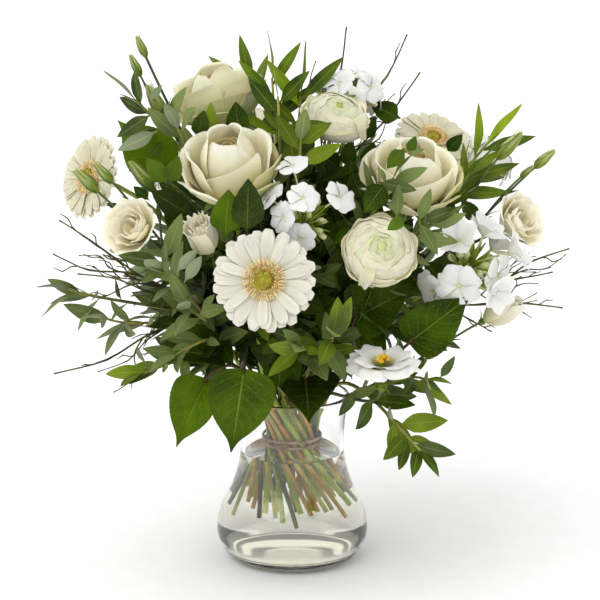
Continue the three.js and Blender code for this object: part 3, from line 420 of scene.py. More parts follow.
looks = {
    # Rose petal: thick and creamy, green at the claw and palest below the lip, and it glows against the light.
    "rosePetal": petalLook(
        "rosePetalIvory", glow=0.5, vein="#e2d6a2", veins=38, veinWeight=0.3, blush="#ebdfac", blushWeight=0.3,
        along=[(0.0, "#bdb660"), (0.3, "#e3d99a"), (0.65, "#f0e9c2"), (0.93, "#f7f3dc"), (1.0, "#efe6c0")]),
    # The same, greener and duller, as painted shade for a bloom in shade.
    "roseShaded": petalLook(
        "rosePetalPaintedShade", glow=0.5, vein="#cfc98c", veins=38, veinWeight=0.4, blush="#d9d29a", blushWeight=0.4,
        along=[(0.0, "#a3a84a"), (0.3, "#d0cc8c"), (0.65, "#e2deb2"), (0.93, "#ece8c8"), (1.0, "#dcd4a0")]),
    # Round the heart, where light passes many petals: their warm, deeper honey colour is painted light and shade.
    "roseInner": petalLook(
        "rosePetalHeart", vein="#dcc684", veins=38, veinWeight=0.35, blush="#e6cd84", blushWeight=0.4,
        along=[(0.0, "#bfa858"), (0.5, "#e3cf88"), (0.9, "#efe3b2"), (1.0, "#dcc788")]),
    # Guard petals that shut round the bud outdoors: coarse, veined and weathered green.
    "roseGuard": petalLook(
        "roseGuardPetal", glow=0.45, vein="#aeb062", veins=30, veinWeight=0.5, blush="#c0b976", blushWeight=0.45,
        along=[(0.0, "#8e963a"), (0.45, "#c2bf7a"), (0.8, "#d9d5a6"), (1.0, "#c6bd84")]),
    # Gerbera ray: matt white, with long bumped grooves; the darker streaks drawn along them are painted shade.
    "gerberaRay": petalLook(
        "gerberaRayWhite", depth=0.5, dark=0.93, vein="#c6bca0", veins=22, veinWeight=0.5, blush="#dcd3b8",
        blushWeight=0.3, along=[(0.0, "#cfc08a"), (0.25, "#dbd3b6"), (0.6, "#e3ddc9"), (1.0, "#e9e4d4")]),
    # The ray of the two that face away: creamier and darker, painted shade for the less light that falls on it.
    "gerberaShaded": petalLook(
        "gerberaRayPaintedShade", depth=0.5, dark=0.93, vein="#beb48a", veins=22, veinWeight=0.45, blush="#cfc69c",
        blushWeight=0.3, along=[(0.0, "#c2ab78"), (0.3, "#d3cba0"), (0.7, "#dbd5b4"), (1.0, "#dfdac0")]),
    # Short strap florets round the eye: thin straw yellow that pales to the tip.
    "gerberaFringe": petalLook(
        "gerberaInnerFringe", dark=0.88, vein="#dcbb70", veins=8, veinWeight=0.3, blush="#e4c684",
        blushWeight=0.4, along=[(0.0, "#d4a850"), (0.5, "#e8cf90"), (1.0, "#f4e8c4")]),
    # Ranunculus petal: thin as paper and silky, cream with a green claw.
    "ranunculus": petalLook(
        "ranunculusPetalCream", vein="#d8d0a0", veins=30, veinWeight=0.3, blush="#e2dab0", blushWeight=0.3,
        along=[(0.0, "#b8bd6c"), (0.5, "#e0dbae"), (0.85, "#ede8cb"), (1.0, "#e4dcb2")]),
    # Its heart, which hasn't opened yet: still green.
    "ranunculusInner": petalLook(
        "ranunculusPetalHeart", vein="#c4ca8a", veins=24, veinWeight=0.3, blush="#d8d9a8", blushWeight=0.3,
        along=[(0.0, "#a6b45c"), (0.6, "#d2d5a0"), (0.9, "#e2e2be"), (1.0, "#cdd090")]),
    # Lisianthus petal: soft as velvet, butter cream.
    "lisianthus": petalLook(
        "lisianthusPetalCream", dark=0.96, vein="#e9dcab", veins=34, veinWeight=0.35, blush="#f1e2b0",
        blushWeight=0.35, along=[(0.0, "#bdb968"), (0.35, "#f0e5b4"), (0.7, "#faf4d8"), (1.0, "#fbf7e4")]),
    # The wide-open one: white, with a dark green throat.
    "bell": petalLook(
        "lisianthusBellWhite", vein="#dedbcc", veins=30, veinWeight=0.35, blush="#eceadf", blushWeight=0.3,
        along=[(0.0, "#2e3408"), (0.34, "#5f6416"), (0.46, "#a39c3e"), (0.57, "#e2dfc6"), (0.7, "#f1f0e8"),
               (1.0, "#f2f1ec")]),
    # Phlox lobe: matt and purest white, with a green ring at the eye.
    "phlox": petalLook(
        "phloxPetalWhite", depth=0.5, vein="#cfcfc8", veins=14, veinWeight=0.5, blush="#dddcd6", blushWeight=0.4,
        along=[(0.0, "#a5ab42"), (0.12, "#d6d9aa"), (0.26, "#e6e5dc"), (0.7, "#ebeae4"), (1.0, "#efeee9")]),
    # Rolled petals of a closed bud: green that pales upwards, streaked along the roll.
    "budPetal": petalLook(
        "lisianthusBudPetal", dark=0.75, vein="#6d8f2e", veins=22, veinWeight=0.6, blush="#b9c46c",
        blushWeight=0.4, along=[(0.0, "#456c18"), (0.4, "#86a236"), (0.75, "#c6cc84"), (1.0, "#b3c455")]),
    # Small fleshy things. A patch size of 3 mm gives neighbouring buds and florets their own shades.
    "phloxBud": stemLook("phloxBudCream", "#b8c470", "#dcdfa6", "#eae8cc", glow=0.3),  # smooth and translucent
    "eye": stemLook("gerberaEye", "#8c8a20", "#bdb43a", "#dccb58", glow=0.2, patch=300.0),  # closed, green gold
    "eyeShadeSide": stemLook("gerberaEyePaintedShade", "#7c4a12", "#b0701e", "#cf9a40", glow=0.15, patch=300.0),  # painted shade: rust brown for the shaded side of the eye
    "anther": stemLook("gerberaAnther", "#c79c54", "#e6cc90", "#f6ebcc", glow=0.25, patch=300.0),  # straw pollen
    "stamen": stemLook("bellStamen", "#b8860a", "#dcae18", "#f0cf4c", glow=0.2),  # powdery, egg-yellow pollen
    "greenEye": stemLook("ranunculusEye", "#98a650", "#b4bf74", "#ccd39a", glow=0.25),  # smooth, fresh green
    "spike": stemLook("phloxCalyxGreen", "#5a700e", "#88991c", "#b6bf3e", glow=0.15),  # yellow green, fine ribs
    # Stems, from juicy to woody, and how much brighter each is painted where it stands in water: painted light.
    "stemGreen": stemLook("flowerStemGreen", "#76902c", "#9db044", "#c6ca72", glow=0.1, paintedLightInWater=2.0),  # juicy
    "stemBlue": stemLook("lisianthusStemGreen", "#2f3b1b", "#46552a", "#69763e", paintedLightInWater=1.8),  # a grey bloom
    "stemYellow": stemLook("leafShootYellowGreen", "#626a28", "#89893c", "#b3aa54", paintedLightInWater=2.6),  # young wood
    "stemBrown": stemLook("woodyShootBrown", "#9c6a2c", "#c8963e", "#dfbe6c", (700, 700, 90), glow=0.1, paintedLightInWater=1.5),
    "innerStem": stemLook("shadedShootBrown", "#2c2212", "#4d3c20", "#6f6332"),  # painted shade: dull and dark, as they stand among the leaves
    "bark": stemLook(  # dry birch twig: rough, with lichen lights
        "twigBark", "#33301a", "#524e2a", "#7c7640", roughness=0.75, depth=0.5, paintedLightInWater=1.4),
    "raffia": stemLook(  # dry palm fibre, split into threads of about 1 mm that run round the tie
        "raffiaStrand", "#8d6a52", "#b48e72", "#d1b398", (120, 120, 1500), 120.0, roughness=0.7),
    # Sepal: thin leaf skin, half matt, with faint veins.
    "sepal": leafLook("sepalGreen", "#4a6014", "#828f34", "#607420", "#98a450", 6, 4, 0.2),
    # Eucalyptus: a waxy bloom greys the green and dulls the shine; the underside is paler and quite matt.
    "eucalyptusTop": leafLook(
        "eucalyptusLeafUpper", "#333f17", "#7e8c4f", "#57662f", "#99a465", 13, 6, 0.25, 0.014, 0.45, roughness=0.5),
    "eucalyptusUnder": leafLook(
        "eucalyptusLeafUnder", "#667050", "#a4ac8c", "#879170", "#b2b896", 13, 6, 0.2, 0.02, 0.5, roughness=0.6),
    # The same leaf when young: yellow green, with less bloom on it.
    "freshTop": leafLook(
        "freshLeafUpper", "#2b3d08", "#7f9022", "#4c6210", "#9aa54a", 12, 6, 0.25, 0.014, 0.5,
        roughness=0.42, shine=0.12),
    "freshUnder": leafLook(
        "freshLeafUnder", "#6c7a44", "#a0a96e", "#848e56", "#b9bf86", 12, 6, 0.2, 0.02, 0.5, roughness=0.55),
    # Pistachio: a leathery, bright grass green with a soft shine.
    "brightTop": leafLook(
        "pistachioLeafUpper", "#263d03", "#8aa012", "#4c6a08", "#9aab34", 14, 5, 0.25, 0.016, 0.5, roughness=0.4),
    "brightUnder": leafLook(
        "pistachioLeafUnder", "#586a22", "#8f9b3e", "#70822e", "#a9b168", 14, 5, 0.2, 0.02, 0.5, roughness=0.55),
    # Rose leaf: dark and crinkled between sunk veins.
    "roseLeafTop": leafLook(
        "roseLeafUpper", "#172404", "#52680f", "#2c3f08", "#5f7024", 9, 5, 0.4, 0.012, 0.55, 16, 0.3,
        roughness=0.38, shine=0.12),
    "roseLeafUnder": leafLook(
        "roseLeafUnder", "#45572a", "#6e7e42", "#586a34", "#8c9860", 9, 5, 0.4, 0.018, 0.6, 16, 0.25, roughness=0.6),
    # Salal: thick and leathery, deep green, with a raised net that breaks up the light.
    "broadTop": leafLook(
        "salalLeafUpper", "#132300", "#5f7d00", "#2a4500", "#7f9838", 7, 4.2, 0.5, 0.008, 0.6, 26, 0.22,
        roughness=0.4, glow=0.04, depth=1.2, shine=0.08),
    "broadUnder": leafLook(
        "salalLeafUnder", "#44601c", "#7c9434", "#5f7c24", "#98a85c", 7, 4.2, 0.5, 0.01, 0.6, 30, 0.25,
        roughness=0.6, depth=0.6),
    # Soda-lime glass, mould-blown and fire-polished: clear and glossy, and slightly uneven.
    "glass": clearLook("sodaLimeGlass", "#fefefe", 1.5, 26.0, 0.3),
    # Still tap water, a little clouded by the cut stems.
    "water": clearLook("vaseWater", "#f9f8ea", 1.333, 18.0, 0.15),
}
print("finishes ready")

# What stands in the vase, as in the solids. at: the middle of a bloom, face: the way it looks, size: its radius.
roses = {
    "rose_front": dict(at=(-54, -95, 391), face=(-0.08, -0.36, 0.93), size=40),
    "rose_top": dict(at=(-68, 20, 440), face=(-0.2, -0.1, 0.97), size=40),
    "rose_right": dict(at=(107, -75, 379), face=(0.14, -0.34, 0.93), size=40),
    "rose_rear": dict(at=(-30, 130, 375), face=(-0.1, 0.7, 0.7), size=39),
}
gerberas = {
    "gerbera_front": dict(at=(-23, -168, 305), face=(-0.05, -0.95, 0.3), size=43),
    "gerbera_left": dict(at=(-184, -30, 370), face=(-0.72, -0.62, 0.3), size=38),
    "gerbera_right": dict(at=(132, 40, 396), face=(0.2, -0.5, 0.84), size=36),
}
ranunculus = {
    "ranunculus_front": dict(at=(76, -140, 325), face=(0.12, -0.86, 0.5), size=32),
    "ranunculus_top": dict(at=(40, -40, 428), face=(0.2, -0.5, 0.84), size=30),
    "ranunculus_rear": dict(at=(80, 120, 350), face=(0.45, 0.75, 0.5), size=31),
}
lisianthus = {
    "lisianthus_left": dict(
        blooms={
            "lisianthus_left": dict(at=(-139, -95, 335), face=(-0.45, -0.75, 0.48), size=25, kind="open"),
            "lisianthus_half": dict(at=(-76, -128, 333), face=(-0.3, -0.5, 0.8), size=17, kind="closed"),
        },
        buds=((-191, -75, 384, 11), (-173, -78, 390, 9), (-144, -52, 388, 13))),
    "lisianthus_right": dict(
        blooms={"lisianthus_right": dict(at=(204, -40, 331), face=(0.65, -0.6, 0.46), size=25, kind="open")},
        buds=((206, -40, 412, 12), (236, -38, 396, 9), (216, -52, 384, 6))),
    "lisianthus_low": dict(
        blooms={
            "lisianthus_low": dict(at=(80, -150, 229), face=(0.05, -0.42, 0.9), size=31, kind="bell"),
            "lisianthus_bud": dict(at=(187, -70, 254), face=(0.8, -0.3, 0.52), size=18, kind="tulip"),
        },
        buds=()),
    "lisianthus_tall": dict(blooms={}, buds=((-141, 5, 494, 8), (-146, -8, 478, 8), (-131, -12, 452, 13))),
}
phloxes = {
    "phlox_centre": dict(at=(12, -118, 350), face=(0.05, -0.8, 0.6), size=27),
    "phlox_right": dict(at=(165, -88, 300), face=(0.55, -0.72, 0.42), size=32),
    "phlox_top": dict(at=(56, 15, 450), face=(0.15, -0.05, 0.98), size=27),
    "phlox_back": dict(at=(187, 64, 378), face=(0.62, 0.25, 0.75), size=26),
    "phlox_rear": dict(at=(-110, 110, 350), face=(-0.6, 0.65, 0.45), size=28),
}
sprays = {  # the tips of the main shoot and of its side shoots
    "pistachio_top": ((-18, 0, 456), (-40, 74, 440), (8, -6, 440)),
    "eucalyptus_top": ((-12, -68, 448), (8, -88, 412)),
    "eucalyptus_upper_left": ((-140, -30, 440), (-100, -70, 420)),
    "eucalyptus_left": ((-195, -115, 285), (-165, -110, 258)),
    "eucalyptus_lower_left": ((-128, -135, 215), (-100, -150, 235)),
    "eucalyptus_mid_left": ((-112, -148, 308), (-88, -158, 278)),
    "eucalyptus_lower_right": ((112, -155, 150), (118, -120, 205)),
    "eucalyptus_right": ((88, -118, 384), (122, -125, 345)),
    "eucalyptus_centre": ((34, -176, 258), (8, -165, 245)),
    "pistachio_right": ((178, 0, 395), (160, -30, 372)),
    "eucalyptus_rear_left": ((-150, 120, 270), (-70, 165, 300)),
    "eucalyptus_rear_right": ((150, 115, 265), (30, 170, 290)),
}
salals = {  # foot, tip, width and the way the upper face looks
    "salal_lower_left": (
        ((-74, -118, 204), (-104, -132, 147), 44, (-0.2, -0.9, 0.35)),
        ((-42, -128, 216), (-52, -148, 146), 58, (0.15, -0.9, 0.35)),
        ((-66, -84, 216), (-122, -122, 236), 46, (-0.2, -0.7, 0.7))),
    "salal_rim": (((12, -66, 190), (16, -118, 172), 58, (0.05, -0.5, 0.85)),),
    "salal_right": (
        ((104, -108, 236), (157, -118, 280), 46, (0.3, -0.85, 0.4)),
        ((56, -88, 252), (106, -100, 284), 52, (0.2, -0.8, 0.5))),
    "salal_upper_left": (((-112, -26, 376), (-158, -20, 420), 48, (-0.3, -0.85, 0.4)),),
    "salal_rear": (
        ((20, 80, 230), (40, 130, 190), 50, (0.1, 0.8, 0.5)),
        ((-40, 90, 240), (-85, 140, 215), 46, (-0.3, 0.8, 0.5)),
        ((90, 70, 250), (150, 90, 235), 46, (0.5, 0.6, 0.6))),
}
twigs = {
    "twigs_left": ((-204, -92, 342), (-208, -112, 316), (-186, -120, 300), (-210, -112, 208)),
    "twigs_right": ((250, -50, 308), (244, -62, 256), (236, -48, 286)),
    "twigs_top": ((50, 24, 500), (106, 34, 492), (118, 26, 458)),
}
tie = dict(height=116, neck=157, cutHeight=41, cutSpread=17,
           rings=((1, 0, 0), (7, 8, 0.22), (13, 15.3, 0.42), (18, 22.5, 0.6)))  # stems, radius and slope
depths = {  # from a bloom's middle down to its foot, in shares of its radius
    "rose": 0.55, "gerbera": 0.1, "ranunculus": 0.5, "open": 0.75, "closed": 0.95, "tulip": 0.95, "bell": 0.75}


# The ways of the stems, worked out as in the solids, with the same plain dice.
def dice(seed):
    state = (seed * 7919 + 12345) % 2147483647

    def draw():
        nonlocal state
        state = state * 16807 % 2147483647
        return state / 2147483647
    return draw


def planStem(name, target, radius, sides):
    x, y, z = target[:3]
    stems[name] = dict(
        radius=radius, sides=sides, cut=tie["cutHeight"] + tie["cutSpread"] * dice(len(stems) + 1)(),
        lean=math.atan2(math.hypot(x, y), z - tie["height"]), bearing=math.atan2(y, x))


def seatStems():
    waiting = sorted(stems.values(), key=lambda stem: stem["lean"])
    for count, radius, slope in tie["rings"]:
        chosen, waiting = sorted(waiting[:count], key=lambda stem: stem["bearing"]), waiting[count:]
        twist = math.atan2(slope * (tie["neck"] - tie["height"]), radius)
        pitch = 2 * math.pi / len(chosen)
        drift = sum(stem["bearing"] - i * pitch for i, stem in enumerate(chosen)) / len(chosen)
        for i, stem in enumerate(chosen):
            stem.update(ring=(radius, slope), angle=drift + twist + i * pitch)


stems = {}
for name, item in [*roses.items(), *gerberas.items()]:
    planStem(name, item["at"], 2.6, 5)
for name, item in [*ranunculus.items(), *phloxes.items()]:
    planStem(name, item["at"], 2.3, 4)
for name, plant in lisianthus.items():
    planStem(name, [*(bloom["at"] for bloom in plant["blooms"].values()), *plant["buds"]][0], 2.2, 4)
for name, tips in sprays.items():
    planStem(name, tips[0], 2.1, 4)
for name, leaves in salals.items():
    planStem(name, leaves[0][0], 2.0, 4)
for name, tips in twigs.items():
    planStem(name, tips[0], 2.1, 4)
seatStems()
sways = [(0, 0)] + [(size, k * math.pi / 4) for size in (7, 14, 22, 32) for k in range(8)]  # past what is in the way


def onStem(stem, height):
    (radius, slope), angle = stem["ring"], stem["angle"]
    slip = slope * (height - tie["height"])
    return Vector((
        radius * math.cos(angle) + slip * math.cos(angle - math.pi / 2),
        radius * math.sin(angle) + slip * math.sin(angle - math.pi / 2), height))


def way(plan, sway, steps):
    start, end = plan["start"], plan["end"]
    length = (end - start).length
    x, y = across((end - start).normalized())
    shift = x * sway[0] * math.cos(sway[1]) + y * sway[0] * math.sin(sway[1])
    leave, arrive = plan["leave"] * length * 0.34, plan["arrive"] * length * 0.3
    corners = (start, start + leave + shift, end - arrive + shift, end)
    draw = dice(plan.get("seed", 1))
    points = []
    for i in range(steps + 1):
        t = i / steps
        weights = ((1 - t) ** 3, 3 * (1 - t) ** 2 * t, 3 * (1 - t) * t * t, t**3)
        point = sum((corner * weight for corner, weight in zip(corners, weights)), Vector())
        jog = Vector((draw() - 0.5, draw() - 0.5, draw() - 0.5))
        points.append(point + jog * plan.get("crook", 0) if 0 < i < steps else point)
    return points


def tubeCorners(path, radii, sides):
    side, rings = None, []
    for i, (point, radius) in enumerate(zip(path, radii)):
        tangent = (path[min(i + 1, len(path) - 1)] - path[max(i - 1, 0)]).normalized()
        side = side or across(tangent)[0]
        side = square(side, tangent).normalized()
        other = tangent.cross(side)
        turns = [2 * math.pi * k / sides for k in range(sides)]
        rings.append([point + around(side, other, turn) * radius for turn in turns])
    return rings


# The CAD corners of a node, in millimetres, and the way whose corners are among them.
def cornersOf(node):
    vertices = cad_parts[node].data.vertices
    tree = KDTree(len(vertices))
    for i, vertex in enumerate(vertices):
        tree.insert(vertex.co / mm, i)
    tree.balance()
    return tree


def takenWay(known, plan, steps, ends, sides, lead=()):
    best, taken = 0, None
    for sway in sways:
        path = way(plan, sway, steps)
        radii = [ends[0]] * len(lead) + taper(ends, steps + 1)
        rings = tubeCorners([*lead, *path], radii, sides)[len(lead) + 1:-1]
        found = sum(known.find(corner)[2] < 0.05 for ring in rings for corner in ring)  # within 0.05 mm
        if found > best:
            best, taken = found, (path, sway)
    if not taken:
        return None
    path, sway = taken
    fine = smoothPath(path, 4) if plan.get("crook") else way(plan, sway, steps * 4)
    return dict(path=path, fine=fine, ends=ends)


def spotOn(path, t):
    at = min(t, 0.9999) * (len(path) - 1)
    i = int(at)
    return path[i].lerp(path[i + 1], at - i), (path[i + 1] - path[i]).normalized()


def growStem(name, known, end, arrive, top, steps=4):
    stem = stems[name]
    neck, cut = onStem(stem, tie["neck"]), onStem(stem, stem["cut"])
    leave = (neck - onStem(stem, tie["height"])).normalized()
    plan = dict(start=neck, leave=leave, end=end, arrive=arrive)
    return takenWay(known, plan, steps, (stem["radius"], top), stem["sides"], [cut]), cut


def sideShoot(known, path, t, end, arrive, ends):
    point, tangent = spotOn(path, t)
    leave = (tangent * 0.6 + (end - point).normalized() * 0.8).normalized()
    return takenWay(known, dict(start=point, leave=leave, end=end, arrive=arrive), 3, ends, 4)


# One strand for the straight part and the upper part of a stem, a little uneven in thickness.
def stemStrand(shoot, cut=None):
    points = list(shoot["fine"])
    radii = taper(shoot["ends"], len(points))
    if cut:
        straight = [cut.lerp(points[0], i / 8) for i in range(8)]
        points, radii = straight + points, [radii[0]] * 8 + radii
    return points, [radius * (1 + 0.06 * noise.noise(point * 0.11)) for point, radius in zip(points, radii)]


def footStrand(name, radius):  # the bare end in the vase, by turns brown and yellow green
    points = [onStem(stems[name], height) for height in (stems[name]["cut"], 90, tie["neck"] + 8)]
    look = looks["stemBrown" if list(stems).index(name) % 2 else "stemYellow"]
    return strandsOf(name + "Foot", [(points, [radius] * 3)], look)


# Leaves. length, width, fold and droop in millimetres and shares of the length; shares: the half width, root to tip.
leafKinds = {
    "eucalyptus": dict(length=46, width=16, fold=1.2, droop=0.1, rows=9, columns=4,
                       shares=(0.1, 0.14, 0.6, 0.92, 1, 0.97, 0.86, 0.66, 0.4, 0.03)),
    "pistachio": dict(length=60, width=13, fold=1.5, droop=0.02, rows=9, columns=4,
                      shares=(0.12, 0.3, 0.68, 0.92, 1, 0.95, 0.83, 0.62, 0.36, 0.03)),
    "rose": dict(length=44, width=25, fold=2, droop=0.12, rows=16, columns=6,
                 shares=(0.08, 0.1, 0.7, 0.97, 1, 0.95, 0.83, 0.62, 0.35, 0.03), teeth=0.05),
    "lisianthus": dict(length=34, width=11, fold=1.2, droop=0.2, rows=8, columns=4,
                       shares=(0.35, 0.6, 0.85, 1, 0.97, 0.85, 0.62, 0.35, 0.03)),
    "broad": dict(length=60, width=40, fold=2.5, droop=0.12, rows=16, columns=6,
                  shares=(0.08, 0.12, 0.8, 0.99, 1, 0.93, 0.8, 0.6, 0.34, 0.03), teeth=0.02),
}


# The leaves of a CAD node, found by their tips: a corner with three neighbours, two at the edges and a keel. The
# edges' corners stand 0.28 of the length back from the tip.
def leafPoses(node, kind):
    settings = leafKinds[kind]
    mesh = bmesh.new()
    mesh.from_mesh(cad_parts[node].data)
    bmesh.ops.remove_doubles(mesh, verts=mesh.verts, dist=2e-6)
    poses = []
    for vert in mesh.verts:
        if len(vert.link_edges) != 3:
            continue
        ring = [edge.other_vert(vert).co / mm for edge in vert.link_edges]
        turns = ((ring[i], ring[i - 1], ring[i - 2]) for i in range(3))
        keel, left, right = max(turns, key=lambda row: (row[1] - row[2]).length)
        tip, middle = vert.co / mm, (left + right) / 2
        side, face = (left - right).normalized(), (middle - keel).normalized()
        aim = side.cross(face)
        aim = aim if aim.dot(tip - middle) > 0 else -aim
        length = (tip - middle).dot(aim) / 0.28
        plain = abs(side.dot(face)) < 0.02 and abs(side.dot(tip - middle)) < 0.3
        if plain and (left - right).length > 2.5 and 15 < length < 80:
            root = tip - aim * length + face * settings["droop"] * length
            poses.append(dict(root=root, aim=aim, face=face, length=length))
    mesh.free()
    return poses


# Leaf models, in shares of the length, along +Y with the upper face up.
def leafModel(kind, top, under, variant):
    settings = leafKinds[kind]
    length, draw = settings["length"], Random(variant * 31 + 7)
    half, fold, teeth = settings["width"] / length / 2, settings["fold"] / length, settings.get("teeth", 0)
    bend, twist, phase = draw.uniform(-0.04, 0.06), draw.uniform(-0.35, 0.35), draw.uniform(0, 6)
    rows = settings["rows"]

    def place(x, v):
        tooth = 1 + teeth * (round(v * rows) % 2) * (abs(x) > 0.5 * valueAt(settings["shares"], v))
        wave = 0.012 * math.sin(v * 8 + phase) * abs(x)
        z = fold * abs(x) ** 1.3 - settings["droop"] * v * v + wave + bend * math.sin(math.pi * v)
        lean = twist * v * v
        return Vector((x * half * tooth * math.cos(lean), v, z + x * half * math.sin(lean)))

    skins = [looks[top], looks[under]]
    return sheetModel(f"{kind}Leaf{variant}", settings["columns"], rows, settings["shares"], place, 0.012, skins, True)


leafModels = {
    "eucalyptus": [leafModel("eucalyptus", "eucalyptusTop", "eucalyptusUnder", k) for k in range(3)],
    "fresh": [leafModel("eucalyptus", "freshTop", "freshUnder", k + 5) for k in range(3)],
    "pistachio": [leafModel("pistachio", "brightTop", "brightUnder", k) for k in range(2)],
    "rose": [leafModel("rose", "roseLeafTop", "roseLeafUnder", k) for k in range(2)],
    "lisianthus": [leafModel("lisianthus", "eucalyptusTop", "eucalyptusUnder", k) for k in range(2)],
    "broad": [leafModel("broad", "broadTop", "broadUnder", k) for k in range(2)],
}


def leafAt(models, pose, draw, tone=None):
    side = pose["aim"].cross(pose["face"]).normalized()
    matrix = basis(side, pose["aim"], pose["face"], pose["root"] * mm, pose["length"] * mm)
    return copyOf(models[draw.randrange(len(models))], matrix, draw.random() if tone is None else tone)


# The leaves at the end of a shoot, fanned out on both sides of the one at its tip: degrees off the shoot, and how
# far back each one grows.
crown = ((-38, 0.2), (34, 0.5), (-62, 1.1), (58, 1.5), (-20, 2.0))


def crownLeaves(shoot, models, length, draw, count):
    fine, parts = shoot["fine"], []
    tangent = (fine[-1] - fine[-3]).normalized()
    out = Vector((fine[-1].x * 0.006, -1 if fine[-1].y < 40 else 1, 0.35))
    for degrees, back in crown[:count]:
        turn = math.radians(degrees + draw.uniform(-8, 8))
        root = fine[-1].lerp(fine[-3], back)
        seen = (out + scatter(draw, 0.4)).normalized()
        aim = (Matrix.Rotation(turn, 3, square(seen, tangent).normalized()) @ tangent).normalized()
        face = square(seen, aim).normalized()
        pose = dict(root=root, aim=aim, face=face, length=length * draw.uniform(0.7, 1.0))
        parts.append(leafAt(models, pose, draw))
    return parts


# A second leaf across the shoot from each one, as they grow in pairs.
def acrossFrom(pose, shoots, draw):
    best = min(
        ((point - pose["root"]).length, i, shoot["fine"])
        for shoot in shoots for i, point in enumerate(shoot["fine"][:-1]))
    _, i, fine = best
    tangent = (fine[i + 1] - fine[i]).normalized()
    turn = Matrix.Rotation(math.pi + draw.uniform(-0.4, 0.4), 3, tangent)
    aim = turn @ pose["aim"]
    face = square((pose["root"] - heart).normalized() * 0.8 + up * 0.7, aim)
    if face.length < 0.15:  # it would point straight out, with no upper side to show
        return None
    return dict(root=fine[i], aim=aim, face=face.normalized(), length=pose["length"] * draw.uniform(0.6, 0.85))


def pairedLeaves(poses, models, shoots, draw):
    parts = []
    for pose in poses:
        parts.append(leafAt(models, pose, draw))
        twin = acrossFrom(pose, shoots, draw)
        if twin:
            parts.append(leafAt(models, twin, draw))
    return parts


# Leaves at set places: root, tip, kind and tone. A tone below 0 shows the underside.
placedLeaves = {
    "rose_front": (
        ((-57, -142, 337), (-53, -150, 378), "broad", 0.5), ((-38, -148, 340), (-36, -154, 388), "rose", 0.0),
        ((-108, -112, 378), (-124, -118, 401), "rose", 0.7),
        ((-106, -112, 378), (-97, -118, 402), "rose", 0.5)),
    "rose_top": (
        ((-72, -62, 407), (-71, -66, 442), "fresh", 0.9), ((-84, -62, 410), (-77, -66, 435), "rose", 0.3),
        ((-47, -60, 411), (-49, -64, 442), "broad", 0.1)),
    "eucalyptus_upper_left": (
        ((-125, -42, 429), (-156, -46, 409), "eucalyptus", 0.1),
        ((-120, -44, 414), (-155, -48, 397), "eucalyptus", -0.2),
        ((-122, -44, 419), (-107, -48, 439), "eucalyptus", 0.2),
        ((-126, -42, 441), (-115, -46, 456), "eucalyptus", -0.3),
        ((-115, -46, 405), (-127, -50, 391), "rose", 0.2), ((-112, -60, 390), (-91, -64, 371), "rose", 0.5)),
    "eucalyptus_mid_left": (
        ((-110, -140, 314), (-148, -146, 322), "eucalyptus", 0.1),
        ((-108, -142, 313), (-129, -148, 298), "eucalyptus", 0.3),
        ((-94, -146, 300), (-121, -150, 311), "eucalyptus", 0.5),
        ((-108, -140, 317), (-94, -146, 357), "eucalyptus", 0.7),
        ((-99, -146, 307), (-80, -150, 329), "eucalyptus", -0.6),
        ((-92, -150, 299), (-76, -154, 324), "eucalyptus", -0.4)),
    "eucalyptus_right": (
        ((97, -128, 412), (82, -132, 395), "rose", 0.5), ((100, -128, 408), (106, -132, 422), "rose", 0.3),
        ((100, -128, 408), (113, -132, 411), "eucalyptus", 0.4),
        ((74, -132, 383), (107, -136, 377), "eucalyptus", 0.0),
        ((81, -126, 382), (63, -130, 356), "broad", 0.0), ((90, -134, 352), (92, -138, 382), "eucalyptus", 0.3),
        ((109, -136, 349), (119, -140, 378), "eucalyptus", 0.6),
        ((111, -132, 348), (143, -136, 361), "eucalyptus", 0.3),
        ((96, -172, 360), (81, -176, 350), "rose", 0.8),
        ((109, -140, 350), (126, -144, 322), "eucalyptus", 0.5)),
    "shade": (  # dark leaves behind the gaps, in their deepest tones as painted shade
        ((-91, -60, 341), (-124, -64, 363), "rose", 0), ((-87, -50, 353), (-118, -54, 369), "broad", 0),
        ((-82, -60, 318), (-113, -64, 343), "broad", 0), ((48, -50, 353), (54, -54, 389), "broad", 0),
        ((65, -60, 350), (54, -64, 380), "rose", 0), ((34, -40, 360), (27, -44, 389), "rose", 0),
        ((44, -30, 376), (24, -34, 395), "broad", 0), ((-74, -60, 183), (-61, -64, 205), "broad", 0),
        ((-52, -50, 176), (-79, -54, 195), "rose", 0), ((144, -40, 268), (121, -44, 294), "broad", 0),
        ((152, -40, 323), (138, -44, 346), "rose", 0), ((100, 20, 416), (73, 16, 430), "broad", 0),
        ((64, -5, 400), (75, -9, 422), "broad", 0), ((49, -30, 378), (53, -34, 404), "rose", 0.1),
        ((67, -25, 377), (74, -29, 401), "broad", 0.1), ((142, 10, 386), (156, 6, 403), "rose", 0.2),
        ((137, -45, 328), (144, -49, 352), "broad", 0.1), ((168, -45, 332), (153, -49, 352), "rose", 0.3),
        ((96, -70, 322), (107, -74, 339), "broad", 0), ((154, -55, 273), (159, -59, 300), "rose", 0.2),
        ((134, -55, 266), (141, -59, 288), "broad", 0), ((133, -80, 195), (146, -84, 216), "eucalyptus", 0.1),
        ((58, -112, 192), (42, -116, 170), "eucalyptus", 0.1),
        ((54, -95, 198), (48, -99, 219), "eucalyptus", 0.1),
        ((-38, -10, 380), (-27, -14, 404), "rose", 0.1), ((-22, -15, 378), (-10, -19, 400), "rose", 0),
        ((7, -10, 382), (18, -14, 403), "rose", 0.1), ((63, -60, 263), (72, -64, 298), "broad", 0),
        ((48, -70, 279), (52, -74, 304), "rose", 0), ((-147, -60, 345), (-165, -64, 352), "eucalyptus", 0),
        ((-127, -60, 354), (-140, -64, 367), "rose", 0.1), ((-90, -100, 310), (-94, -104, 330), "rose", 0)),
}
placedRng = Random(17)


